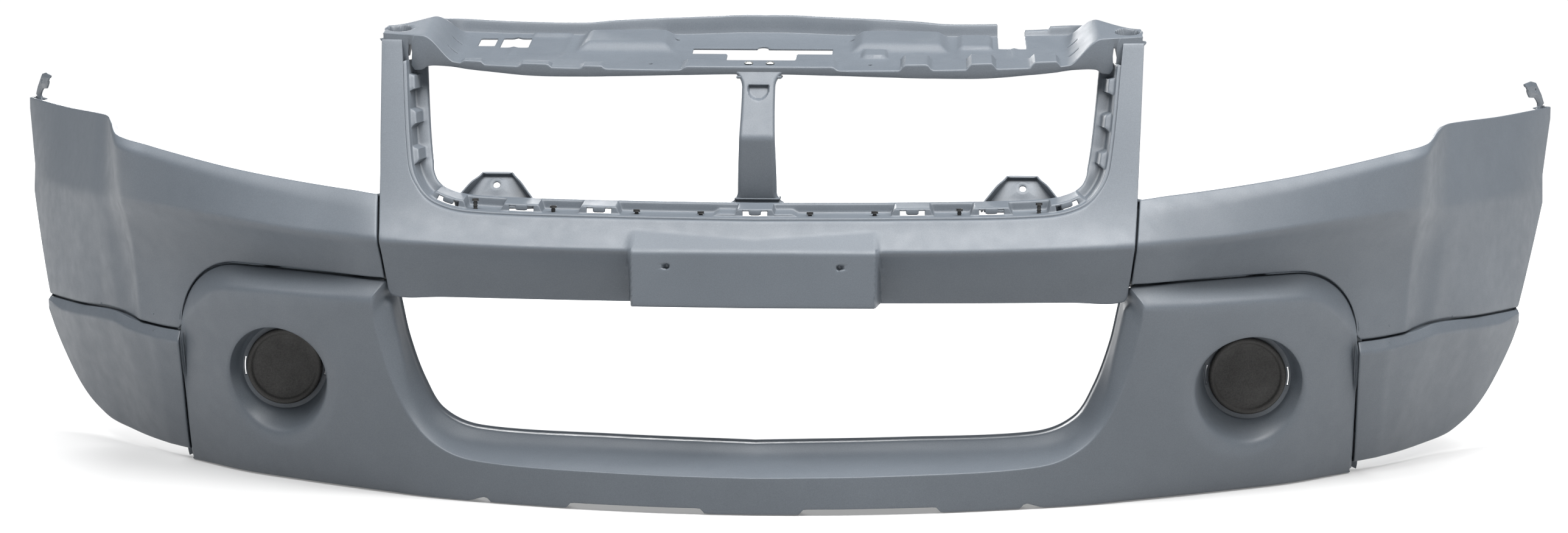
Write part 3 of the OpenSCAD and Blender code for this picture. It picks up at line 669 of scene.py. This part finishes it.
def recess(boundary):
    """Rings of points from a boundary on the right pod's face down into the lamp recess."""
    rel = boundary[:, [0, 2]] - FOG[[0, 2]]
    angle = np.arctan2(rel[:, 1], rel[:, 0])
    reach = np.hypot(rel[:, 0], rel[:, 1])
    # rim of the steep wall and of the soft dish round it, by direction
    inboard = (1 - np.cos(angle)) / 2
    below = (1 - np.sin(angle)) / 2
    stretch = 12 * np.exp(-((angle - math.pi * np.sign(angle)) / 0.9)**2) * (1 - below)
    wall = mix(49, 66, below**1.2) + stretch
    dish = wall + mix(3, 16, below) * mix(0.35, 1, inboard) + 4 * inboard
    sink = 4.5 * mix(0.25, 1, np.clip(below + inboard - 0.3, 0, 1))
    seat = FOG[1] + 0.5

    def at(radius, depth):
        x, z = FOG[0] + radius * np.cos(angle), FOG[2] + radius * np.sin(angle)
        return points(x, depth(x, z), z)

    far = at(np.minimum(dish + 7, reach - 3), pod_y)
    between = [mix(boundary, far, share) for share in (0.34, 0.67)]
    for ring in between:
        ring[:, 1] = pod_y(ring[:, 0], ring[:, 2])
    lines = [far, at(dish, lambda x, z: pod_y(x, z) + 0.3), at(wall, lambda x, z: pod_y(x, z) + sink),
             at(LEDGE[0] + 3, lambda x, z: mix(pod_y(x, z), seat, 0.86))]
    lines += [at(r, lambda x, z: seat) for r in LEDGE]
    return np.array([boundary] + between + list(loft(lines, [0, 8, 7, 4, 0, 0, 0, 0], size=3, bend=6)))


def lower_fascia_solid():
    """The lower fascia with a block of each pod's face replaced by the lamp recess."""
    grid = lower_fascia()
    cols = grid.shape[1]
    keep = all_cells(grid)
    all_points, all_quads = grid.reshape(-1, 3), []
    for side in (-1, 1):
        x, z = grid[..., 0] * side, grid[..., 2]
        near = (np.abs(x - FOG[0] + 4) < 84) & (np.abs(z - FOG[2] + 7) < 87)
        columns = np.where(near.any(axis=0))[0]
        j0, j1 = columns[0], columns[-1]
        on_face = np.abs(grid[..., 1] - pod_y(x, z)) < 0.8
        rows_in = np.where(near.any(axis=1) & on_face[:, j0:j1 + 1].all(axis=1))[0]
        i0, i1 = rows_in[0], rows_in[-1]
        keep[i0:i1, j0:j1] = False
        ring = [(i0, j) for j in range(j0, j1)] + [(i, j1) for i in range(i0, i1)]
        ring += [(i1, j) for j in range(j1, j0, -1)] + [(i, j0) for i in range(i1, i0, -1)]
        ids = np.array([i * cols + j for i, j in ring])
        rings = recess(all_points[ids] * [side, 1, 1]) * [side, 1, 1]
        new = rings[1:].reshape(-1, 3)
        table = len(all_points) + np.arange(len(new)).reshape(-1, len(ids))
        quads = ring_quads(np.concatenate([ids[None], table]))
        all_points = np.concatenate([all_points, new])
        # see-through slots at both sides of the blank, in the narrow ledge round it
        middle = all_points[quads].mean(axis=1) * [side, 1, 1] - FOG
        reach = np.hypot(middle[:, 0], middle[:, 2])
        slot = (np.abs(middle[:, 2]) < SLOT_HALF) & (reach > LEDGE[2]) & (reach < LEDGE[1])
        all_quads.append(quads[~(slot & (middle[:, 1] > -2))])
    return thicken(all_points, np.concatenate([quads_of(grid, keep)] + all_quads))


# ---- grille carrier, shelf, post and the small parts ----
CLIPS = [0, 158, 237.5, 315.5]  # grille clip housings


def side_frame(a):
    """Edge of the grille openings at a share a, with the directions along it and into the opening."""
    e = 0.004
    x, z = curve(INNER_X, a), curve(INNER_Z, a)
    dx, dz = curve(INNER_X, a + e) - curve(INNER_X, a - e), curve(INNER_Z, a + e) - curve(INNER_Z, a - e)
    size = np.hypot(dx, dz)
    return x, z, dx / size, dz / size


def run_length():
    """Distance along the edge of the openings against its share."""
    a = np.linspace(0, 1, 2001)
    x, z = curve(INNER_X, a), curve(INNER_Z, a)
    return a, np.concatenate([[0], np.cumsum(np.hypot(np.diff(x), np.diff(z)))])


def carrier():
    """Stepped ledge inside the openings: clip housings with slots and tongues, sunk trays between."""
    shares, lengths = run_length()
    end = np.interp(0.955, shares, lengths)
    run = spaced(0, 345, size=1.25)
    run = np.concatenate([run, spaced(345, end, size=2.2)[1:]])
    t, along, side = both_ways(run)
    ix, iz, tx, tz = side_frame(np.interp(along, lengths, shares))
    base_y = hood_y(ix, iz)
    centres = [float(np.interp(x, ix[len(run) - 1:], run)) for x in CLIPS]
    near = np.min([np.abs(along - c) for c in centres], axis=0)
    upright = step01((along - 345) / 30)
    under_post = step01((44 - along) / 8)
    housing = step01((22 - near) / 5)
    # small steps up the pillar side
    steps = sum(step01((9 - np.abs(along - end + d)) / 2.5) for d in (22, 58, 96))
    housing = mix(housing, 0.55 * steps, upright)
    width = mix(1.0, 1.32, upright)

    def line(depth, low, high):
        rise = mix(low, high, housing) * width
        rise = mix(rise, mix(low, high, 0.35), under_post * (1 - step01((22 - along) / 5)))
        x, z = ix - tz * rise, iz + tx * rise
        return points(side * x, base_y + depth, z)

    lines = [line(2, 0.5, 0.5), line(2.6, 2.6, 2.6), line(8.6, 3.3, 3.3), line(9.4, 3.6, 11.3),
             line(22, 4.2, 13.0), line(33, 4.6, 14.6), line(35, 14.6, 15.0), line(41, 15.6, 15.6),
             line(42.5, 11.5, 11.5)]
    cuts = [0, 1, 2.2, 2, 0, 2.5, 1.8, 2.2, 0]
    grid = loft(lines, cuts, size=1.5, bend=3)
    keep = all_cells(grid)
    # plan: distance along the edge, and rise above it
    rise = (grid[..., 0] * side - ix) * -tz + (grid[..., 2] - iz) * tx
    front = grid[..., 1] - base_y < 13.5
    plan = np.stack([np.broadcast_to(t, rise.shape), np.where(front, rise, -50)], -1).copy()
    for c in centres:
        for s in ([1] if c == 0 else [-1, 1]):
            frame_edge = rounded_box((s * c, 7.4), (13.5, 3.4), 0.8)
            tongue = rounded_box((s * c, 12), (5.5, 6.0), 0.8)
            grid, keep = cut_hole(grid, keep, plan, lambda p: np.maximum(frame_edge(p), -tongue(p)))
    return joined(wall_of(grid, keep, THIN), ear(1), ear(-1))


def ear(side):
    """Trapezoid ear with a round hole, a rim along its three free edges and two feet."""
    outline = [(-41, -26), (39, -26), (14, 11.5), (-15, 11.5)]
    tilt = math.radians(35)

    def place(u, v, w):
        y = 100 + v * math.sin(tilt) - w * math.cos(tilt)
        return points(side * (270 + u), y, 319 + v * math.cos(tilt) + w * math.sin(tilt))

    angle = np.linspace(0, 2 * math.pi, 97)[:-1]
    ring = np.stack([np.cos(angle), np.sin(angle)], -1)
    corners = np.array(outline, float)
    ahead = np.roll(corners, -1, axis=0) - corners
    out = unit(np.stack([ahead[:, 1], -ahead[:, 0]], -1))
    reach = np.min([np.where(ring @ n > 1e-6, (c @ n) / np.maximum(ring @ n, 1e-6), 1e9)
                    for c, n in zip(corners, out)], axis=0)
    rows = [ring * 4.5, ring * 7.5]
    rows += [ring * mix(7.5, reach, k)[:, None] for k in (0.2, 0.4, 0.6, 0.8, 1)]
    lift = [1.2, 1.2, 0, 0, 0, 0, 0]
    sheet = np.array([place(r[:, 0], r[:, 1], w) for r, w in zip(rows, lift)])
    quads = ring_quads(np.arange(sheet.shape[0] * len(angle)).reshape(-1, len(angle)))
    if side > 0:
        quads = quads[:, ::-1]
    plate = thicken(sheet.reshape(-1, 3), quads, THIN)
    # rim along the two slopes and the top edge
    path = [outline[0], outline[3], outline[2], outline[1]]
    spots = [path[0]]
    for p, q in zip(path, path[1:]):
        spots += [tuple(mix(np.array(p), np.array(q), k / 12)) for k in range(1, 13)]
    u, v = np.array(spots).T
    rim = loft([place(u, v, w) for w in (-2.5, 4, 11 - 7 * step01((v + 6) / 16))], [0, 0, 0], size=2.5)
    return joined(plate, wall_of(rim if side > 0 else rim[:, ::-1], thickness=2.2))


# Shelf: heights of its front lip's lower edge and of its rear lip, and depth of its front edge
FRONT_LOW = [[0, 435], [34, 435], [135, 432.5], [206, 431.5], [242, 432.5], [272, 435], [302, 438],
             [326, 441], [345, 441], [352, 437], [390, 437]]
REAR_LOW = [[0, 474], [24, 474], [101, 472], [116, 476], [159, 474], [187, 471], [270, 472], [348, 474],
            [390, 472]]
REAR_TOP = [[0, 491.4], [27, 491.4], [55, 490], [117, 487.5], [163, 485], [193, 482.5], [270, 483.5],
            [345, 486.5], [362, 484], [390, 477]]
PADS = [  # raised pads: from x, to x, from y, to y, height, width of the sloping side
    (-189, -98, 168, 260, 8, 16), (98, 189, 168, 260, 8, 16), (-78, 78, 60, 128, 4, 7),
    (-308, -286, 60, 128, 3.5, 4), (-246, -216, 60, 121, 3.5, 4), (-182, -160, 60, 118, 3, 4),
    (146, 174, 60, 140, 6, 6), (214, 240, 60, 143, 6, 6), (279, 306, 60, 146, 6, 6),
    (105, 129, 142, 164, 4, 4), (206, 238, 176, 260, 4, 5), (-246, -206, 216, 260, 4, 5)]


def shelf_top(x, y):
    """Height of the shelf's upper surface."""
    far = np.abs(x)
    z = 438.3 + 0.2493 * (y - 98) + 27 * step01((far - 312) / 38)
    for x0, x1, y0, y1, height, slope in PADS:
        inside = np.minimum(np.minimum(x - x0, x1 - x), np.minimum(y - y0, y1 - y)) / slope + 0.5
        z = z + height * step01(inside)
    # two shallow beads across each half, a well round each end screw
    for place in (-262, -205, 262, 205):
        z = z + 1.2 * np.exp(-((x - place) / 3)**2) * step01((y - 135) / 12)
    well = np.hypot(far - 377, y - 150)
    return z - 27 * step01((13 - well) / 5) * step01((far - 340) / 10)


def shelf():
    """Sloping shelf over the openings, with a lip at the front and another at the rear."""
    x = np.concatenate([spaced(-391, -240, size=2.2), spaced(-240, 240, size=2.6)[1:],
                        spaced(240, 391, size=2.2)[1:]])
    far = np.abs(x)
    front_y = 98 + 33 * (far / 386)**2.4
    rear_y = 233 - 68 * step01((far - 318) / 74)
    low, rear_low, rear_top = curve(FRONT_LOW, far), curve(REAR_LOW, far), curve(REAR_TOP, far)
    right_end = step01((x - 262) / 10)
    rear_top = mix(rear_top, rear_top - 7, right_end * (1 - step01((x - 299) / 2)))
    rear_top = mix(rear_top, rear_top - 4, step01((x - 299) / 2) * (1 - step01((x - 345) / 12)))

    def line(v):
        y = mix(front_y, rear_y, v)
        z = shelf_top(x, y)
        # the last stretch curves up to the foot of the rear lip
        return points(x, y, mix(z, rear_low - 1.5, step01((v - 0.86) / 0.14)))

    top = line(0)
    lines = [points(x, front_y + 1.5, low), points(x, front_y - 0.5, np.maximum(top[:, 2], low + 5))]
    lines += [line(v) for v in np.linspace(0, 1, 56)[2:]]
    lines += [points(x, rear_y + 3.5, rear_top), points(x, rear_y + 8.5, rear_top + 0.4)]
    cuts = [0, 3] + [0] * (len(lines) - 5) + [2.5, 1.6, 0]
    grid = loft(lines, cuts, size=3.5, bend=3)
    keep = all_cells(grid)
    flat = grid[..., :2].copy()
    lip = np.arange(grid.shape[0])[:, None] * np.ones(grid.shape[1]) < 4
    flat[..., 1] = np.where(lip, -500, flat[..., 1])
    window = [rounded_box((0, 168), (74, 11), 2), rounded_box((0, 141), (37, 20), 2), disc((0, 180), 6.5)]
    holes = [lambda p: np.min([part(p) for part in window], axis=0),
             rounded_box((-292, 197), (10, 16), 3), rounded_box((-262, 195), (16, 19), 3),
             rounded_box((260, 220), (15.5, 40), 4)]
    for x0 in (-322, 322):
        holes += [rounded_box((x0, 150), (6, 1.8), 1), rounded_box((x0, 183), (6, 1.8), 1)]
    for x0, y0 in ((92, 208), (113, 121)):
        holes += [disc((x0, y0), 3.25), disc((-x0, y0), 3.25)]
    for away in holes:
        grid, keep = cut_hole(grid, keep, flat, away)
    # slot in the tall front wall at each end
    upright = lip | (grid[..., 1] - front_y < 1.2)
    wall = np.stack([grid[..., 0], np.where(upright, grid[..., 2], -500)], -1)
    for s in (-1, 1):
        grid, keep = cut_hole(grid, keep, wall, rounded_box((s * 363.5, 452), (3.2, 11), 1.2))
    return wall_of(grid, keep, THIN)


def post():
    """Post between the openings: bent in the middle, flared at both ends, with a half-round recess."""
    z = spaced(304, 438, size=1.5)
    u = np.linspace(-1, 1, 31)
    top, low = 438 - z, z - 304
    half = 20 - 3 * step01((z - 315) / 100)
    for d, r in ((top, 17.0), (low, 13.0)):
        d = np.clip(d, 0.8, r)
        half = half + r - np.sqrt(np.maximum(r * r - (r - d)**2, 0))
    zz, uu = np.meshgrid(z, u, indexing="ij")
    x = uu * half[:, None]
    y = larger(72.5 - (zz - 307.5) * 0.194, 60 + (zz - 372) * 0.6, 3)
    d_shape = np.maximum(np.hypot(x, zz - 420) - 10.5, zz - 424)
    y = y + 4.5 * step01((0.6 - d_shape) / 1.4) + 3.5 * np.maximum(np.abs(uu) - 0.8, 0)**2 * 25
    grid = roll_sides(points(x, y, zz), [0.1, 1, 0], [-0.1, 1, 0], 2.5, 9, skip=1)
    tabs = [lug((0, y, z), (X_AXIS, Y_AXIS), (22, 12), [(-11, hole), (11, hole)])
            for y, z, hole in ((85, 310.5, -1), (110, 433, -2))]
    return joined(wall_of(grid, thickness=THIN), *tabs)


def lug(centre, plane, half, holes, thickness=3.0, radius=2.6):
    """Flat tab with holes. Its outer face looks along the cross product of the plane's two directions."""
    p = np.stack(np.meshgrid(*(spaced(-h, h, size=1.3) for h in half)), -1)
    keep = all_cells(p)
    grid = np.array(centre, float) + p @ np.array(plane, float)
    for hole in holes:
        grid, keep = cut_hole(grid, keep, p, disc(hole, radius))
    return wall_of(grid, keep, thickness)


def one(f, *at):
    """Value of a surface or curve at one place."""
    return float(f(*(np.array([float(v)]) for v in at))[0])


BRACKET_Z = 366  # level of the bracket's rivets
BRACKET_OUT = np.array([0.866025, -0.5, 0])  # way out of the wing there


def bracket():
    """Hooked fender bracket on the wing's rear corner."""
    outer = [(-54, -8), (-15, -8), (28.5, -8), (29, 8), (31, 16.5), (40, 19.5), (30, 30), (11, 43.5),
             (-5, 45.5), (-27, 43.5)]
    inner = [(-54, 5), (-15, 5.5), (10, 6), (17, 11), (22, 17), (22, 20), (17, 24), (9, 28), (-9, 29),
             (-18, 35.5)]
    corners = np.arange(len(outer))
    out, inn = (np.stack([np.interp(np.linspace(0, corners[-1], 110), corners, values)
                          for values in np.array(edge, float).T], -1) for edge in (outer, inner))
    rows = np.array([mix(out, inn, v) for v in np.linspace(0, 1, 11)])
    rows, keep = cut_hole(rows, all_cells(rows), rows.copy(), disc((6, 36.5), 3.25))
    p, q = rows[..., 0], rows[..., 1]
    bead = 1.4 * step01((4.5 - np.abs(np.linspace(-5, 5, 11)[:, None] + 0 * p)) / 2)
    along, back = np.array([0.5, 0.866025, 0]), -BRACKET_OUT
    origin = np.array([880, one(body_y, 880, BRACKET_Z), BRACKET_Z])
    grid = origin + p[..., None] * along + q[..., None] * Z_AXIS + (7.0 - bead[..., None]) * back
    return wall_of(grid, keep)


def blank():
    """Round blank: slightly domed disc, raised ring, plug collar behind it."""
    profile = [(0.01, -3.6), (12, -3.55), (24, -3.4), (33, -3.0), (34.2, -3.4), (35, -4.6), (36.2, -5.3),
               (38, -5.4), (39.2, -5.1), (40.2, -4.2), (40.6, -3.0), (40.6, -1.0), (40.2, -0.5),
               (37.5, -0.4), (37.4, 16), (36.6, 17), (35.2, 16.6), (35, 0.2), (33, -0.6), (20, -0.9),
               (0.01, -1)]
    return lathe(profile, FOG, Y_AXIS, 128)


def collar():
    """Bore that holds a blank, with a stiff ring at its end."""
    profile = [(38.5, 3.2), (38.7, 2.4), (41.2, 2.4), (41.5, 3), (41.5, 22), (43.2, 23), (43.4, 25.4),
               (42.8, 26.2), (39, 26.2), (38.5, 25.6), (38.5, 14)]
    return lathe(profile, FOG, Y_AXIS, 112)


# ---- fixings ----
def screw(place, axis, length, head=(6.0, 3.0)):
    """Thread-forming screw whose head sits on place and whose thread runs back along the axis."""
    r, h = head
    profile = [(0.01, h - 1.5), (1.7, h - 1.5), (2.1, h - 0.2), (3.0, h), (r - 1.0, h - 0.5),
               (r - 0.2, h * 0.5), (r, 0.5), (r - 0.2, 0)]
    for k in range(int(length / 1.2)):
        profile += [(2.4, -1.2 * k - 0.1), (1.95, -1.2 * k - 0.7)]
    profile += [(1.2, -length - 0.3), (0.01, -length - 1)]
    return lathe(profile, place, axis)


def push_clip(place, axis, length, head=7.0):
    """Push clip: domed head with a centre pin, ribbed shank."""
    profile = [(0.01, 1.5), (2.6, 1.5), (2.9, 1.1), (3.2, 1.1), (3.5, 2.3), (head - 1.6, 1.8),
               (head - 0.2, 0.9), (head, 0.3), (head - 0.4, 0)]
    for k in range(int(length / 3)):
        top = -3.0 * k
        profile += [(1.9, top - 0.2), (1.9, top - 1.4), (2.4, top - 1.7), (2.3, top - 2.2)]
    profile += [(1.6, -length), (0.01, -length - 0.6)]
    return lathe(profile, place, axis)


def behind(y_of, x, reach):
    """Place [x, y] behind a skin at x: reach mm along the skin's own slope."""
    y = y_of(np.array([x - 10.0, x + 10.0]))
    back = unit(np.array([y[0] - y[1], 20.0]))
    return np.array([x, y.mean()]) + back * reach


SEAM_SCREW_Z = [244, 292]
POD_CLIP_X = [425, 525]
SKIRT_CLIP_X = [668, 752, 822]
SKIRT_SCREW_Z = [55, 112]
RIVET_X = [855, 874]
CARRIER_RIVET_X = [55, 120, 205, 285]
POD_TABS = (222, 234)  # levels of the two tabs that a pod's clip joins
SKIRT_TABS = (148, 166)  # levels of the two tabs that a skirt's clip joins
OUTBOARD, INBOARD = 4.4, -1.4  # faces of the two tabs at a side joint, from the joint
POD_CLIPS = [behind(lambda q: body_y(q, q * 0 + POD_TABS[1]), x, 22) for x in POD_CLIP_X]
SKIRT_CLIPS = [behind(lambda q: body_y(q, q * 0 + 164), x, 17) for x in SKIRT_CLIP_X]


def skirt_joint(z, offset=0.0):
    """Place of a screw between the lower fascia and the skirt."""
    return mix(637, 629, z / 152) + offset, one(skirt_y, 640, z) + 25, z


def seam_tabs(offset):
    """Tabs at the joint between the wing and the centre fascia."""
    return [lug((float(curve(SEAM_X, z)) + offset, 74, z), (Y_AXIS, Z_AXIS), (18, 10), [(9, 0)])
            for z in SEAM_SCREW_Z]


def skirt_tabs(offset):
    """Tabs at the joint between the lower fascia and the skirt."""
    joints = [skirt_joint(z, offset) for z in SKIRT_SCREW_Z]
    return [lug((x, y - 4, z), (Y_AXIS, Z_AXIS), (13, 10), [(4, 0)]) for x, y, z in joints]


def level_tabs(spots, z, reach):
    """Level tabs for push clips."""
    return [lug((x, y - 3, z), (X_AXIS, Y_AXIS), (10, reach), [(0, 3)]) for x, y in spots]


def rivet(x):
    skin = np.array([x, one(body_y, x, BRACKET_Z), BRACKET_Z])
    profile = [(0.01, 6.6), (2.3, 6.6), (2.4, -2.2), (4.2, -2.3), (4.4, -3.0), (3.4, -4.0), (1.6, -4.6),
               (0.01, -4.6)]
    return lathe(profile, skin - BRACKET_OUT * 9.2, BRACKET_OUT)


def side_fixings():
    """Fixings of the right half: end of the node's name, material slot, solids."""
    seam = [screw((float(curve(SEAM_X, z)) + OUTBOARD, 83, z), X_AXIS, 10) for z in SEAM_SCREW_Z]
    pods = [push_clip((x, y, POD_TABS[1]), Z_AXIS, 20) for x, y in POD_CLIPS]
    sides = [screw(skirt_joint(z, OUTBOARD), X_AXIS, 10) for z in SKIRT_SCREW_Z]
    clips = [push_clip((x, y, SKIRT_TABS[1]), Z_AXIS, 23) for x, y in SKIRT_CLIPS]
    rivets = [rivet(x) for x in RIVET_X]
    return [("seam_screws", "zinc_steel", seam), ("pod_clips", "clip_plastic", pods),
            ("skirt_screws", "zinc_steel", sides), ("skirt_clips", "clip_plastic", clips),
            ("bracket_rivets", "zinc_steel", rivets)]


def middle_fixings():
    """Fixings that cross the centre plane: node, material slot, solids."""
    shelf_pair = [screw((s * 377, 150, 451.4), (0, -0.242, 0.970), 10) for s in (-1, 1)]
    small = (4.6, 2.0)
    post_four = [screw((s * 11, 108, 445), (0, -0.1, 0.99), 16, small) for s in (-1, 1)]
    post_four += [screw((s * 11, 84, 310.6), Z_AXIS, 9, small) for s in (-1, 1)]
    pins = []
    for x in CARRIER_RIVET_X:
        y, z = one(hood_y, x, 275) + 27, float(curve(TOP_Z, x)) + 4.6
        pins += [push_clip((s * x, y, z), Z_AXIS, 15, 3.6) for s in (-1, 1)]
    return [("shelf_screws", "zinc_steel", shelf_pair), ("post_screws", "zinc_steel", post_four),
            ("carrier_rivets", "clip_plastic", pins)]


# ---- the visible pieces ----
for side, turned in (("right", lambda solid: solid), ("left", mirrored)):
    for node, slot, solids in side_fixings():
        piece(f"{side}_{node}_set", [f"{side}_{node}"], turned(joined(*solids)), slot=slot)
    wing_tabs = seam_tabs(OUTBOARD) + level_tabs(POD_CLIPS, POD_TABS[1], 10)
    wing_tabs += level_tabs(SKIRT_CLIPS, SKIRT_TABS[1], 10)
    piece(f"{side}_wing_skin", [f"{side}_wing"], turned(joined(wing(), *wing_tabs)))
    tabs = level_tabs(SKIRT_CLIPS, SKIRT_TABS[0], 12) + skirt_tabs(OUTBOARD)
    piece(f"{side}_corner_skirt_skin", [f"{side}_corner_skirt"], turned(joined(corner_skirt(), *tabs)))
    piece(f"{side}_fog_collar", [f"{side}_fog_pocket"], turned(collar()))
    piece(f"{side}_fog_cap", [f"{side}_fog_blank"], turned(blank()), slot="blank_plastic",
          body=f"{side}_blank")
    piece(f"{side}_fender_hook", [f"{side}_fender_bracket"], turned(bracket()))
tabs = joined(*seam_tabs(INBOARD))
piece("centre_fascia_skin", ["centre_fascia"], centre_fascia(), tabs, mirrored(tabs))
tabs = joined(*level_tabs(POD_CLIPS, POD_TABS[0], 12), *skirt_tabs(INBOARD))
piece("lower_fascia_skin", ["lower_fascia"], lower_fascia_solid(), tabs, mirrored(tabs))
piece("grille_carrier_frame", ["grille_carrier"], carrier())
piece("upper_shelf_panel", ["upper_shelf"], shelf())
piece("centre_post_panel", ["centre_post"], post())
for node, slot, solids in middle_fixings():
    piece(f"{node}_set", [node], *solids, slot=slot)


# ---- camera ----
def camera():
    pitch, yaw, roll = math.radians(6.0), 0.0456257, 0.0088466
    right = Vector((1, 0, 0))
    down = Vector((0, -math.sin(pitch), -math.cos(pitch)))
    ahead = Vector((0, math.cos(pitch), -math.sin(pitch)))
    x = right * math.cos(yaw) + ahead * math.sin(yaw)
    z = ahead * math.cos(yaw) - right * math.sin(yaw)
    image_x = x * math.cos(roll) - down * math.sin(roll)
    image_y = x * math.sin(roll) + down * math.cos(roll)
    data = bpy.data.cameras.new("camera")
    data.sensor_width = 36
    data.lens = 69.876
    data.clip_end = 400
    obj = bpy.data.objects.new("camera", data)
    bpy.context.scene.collection.objects.link(obj)
    turn = Matrix((image_x, -image_y, -z)).transposed()
    place = Vector((168.97, -3007.43 - MID_DEPTH, 564.09)) * MM
    obj.matrix_world = Matrix.Translation(place) @ turn.to_4x4()
    bpy.context.scene.camera = obj


# ---- floor and light ----
def glowing_stage_finish():
    """Pale matt floor with a painted glow: it emits light, dim under the cover and brightening to white away
    from it like a studio sweep, and so lights the cover from below.
    """
    material, tree, shader = nodes_of("pale_glowing_stage")
    tone = ramp(tree, noise(tree, 2.0), [(0.3, grey(0.40)), (0.7, grey(0.42))])
    tree.links.new(tone, shader.inputs["Base Color"])
    shader.inputs["Roughness"].default_value = 0.9
    place = tree.nodes.new("ShaderNodeTexCoord")
    away = tree.nodes.new("ShaderNodeVectorMath")
    away.operation = "LENGTH"
    tree.links.new(place.outputs["Object"], away.inputs[0])
    share = tree.nodes.new("ShaderNodeMath")
    share.operation = "MULTIPLY"
    share.inputs[1].default_value = 0.1  # the ramp runs over 10 m
    tree.links.new(away.outputs["Value"], share.inputs[0])
    # painted glow: the floor's own emission, weak near the cover and near white further out
    glow = ramp(tree, share.outputs[0], [(0.07, grey(0.2)), (0.16, grey(0.95))])
    tree.links.new(glow, shader.inputs["Emission Color"])
    shader.inputs["Emission Strength"].default_value = 1.0
    return material


def stage():
    """Wide level floor just under the cover."""
    reach = np.concatenate([np.linspace(0, 6, 13), np.geomspace(7, 300, 12)]) * 1000
    angle = np.linspace(0, 2 * math.pi, 73)
    grid = points(np.outer(reach, np.cos(angle)), np.outer(reach, np.sin(angle)), -1.0)
    verts, quads = grid.reshape(-1, 3), quads_of(grid)
    mesh = bpy.data.meshes.new("stage")
    mesh.from_pydata((verts * MM).tolist(), [], quads.tolist())
    mesh.materials.append(glowing_stage_finish())
    obj = bpy.data.objects.new("stage", mesh)
    bpy.context.scene.collection.objects.link(obj)


def lamp(name, place, target, size, power, colour=(1, 1, 1)):
    data = bpy.data.lights.new(name, "AREA")
    data.shape = "RECTANGLE"
    data.size, data.size_y = size
    data.energy = power
    data.color = colour
    obj = bpy.data.objects.new(name, data)
    bpy.context.scene.collection.objects.link(obj)
    obj.location = place
    aim = Vector(target) - Vector(place)
    obj.rotation_euler = aim.to_track_quat("-Z", "Y").to_euler()


def world(strength):
    sky = bpy.data.worlds.new("studio")
    bpy.context.scene.world = sky
    sky.use_nodes = True
    shade = sky.node_tree.nodes["Background"]
    shade.inputs["Color"].default_value = (0.93, 0.96, 1.0, 1)
    shade.inputs["Strength"].default_value = strength


camera()
stage()
world(0.16)
lamp("overhead", (0.3, -1.0, 3.0), (0, 0.0, 0.2), (4.4, 1.3), 262)
lamp("key", (2.4, -1.6, 2.6), (0.2, 0, 0.25), (1.2, 1.2), 50, (1.0, 0.98, 0.96))
lamp("side", (-2.2, -0.2, 2.7), (-0.6, 0, 0.3), (1.2, 1.2), 24)
lamp("rear", (-1.4, 5.0, 1.5), (0, 0.3, 0.2), (3.0, 1.6), 190)

bpy.context.scene.view_settings.view_transform = "Standard"
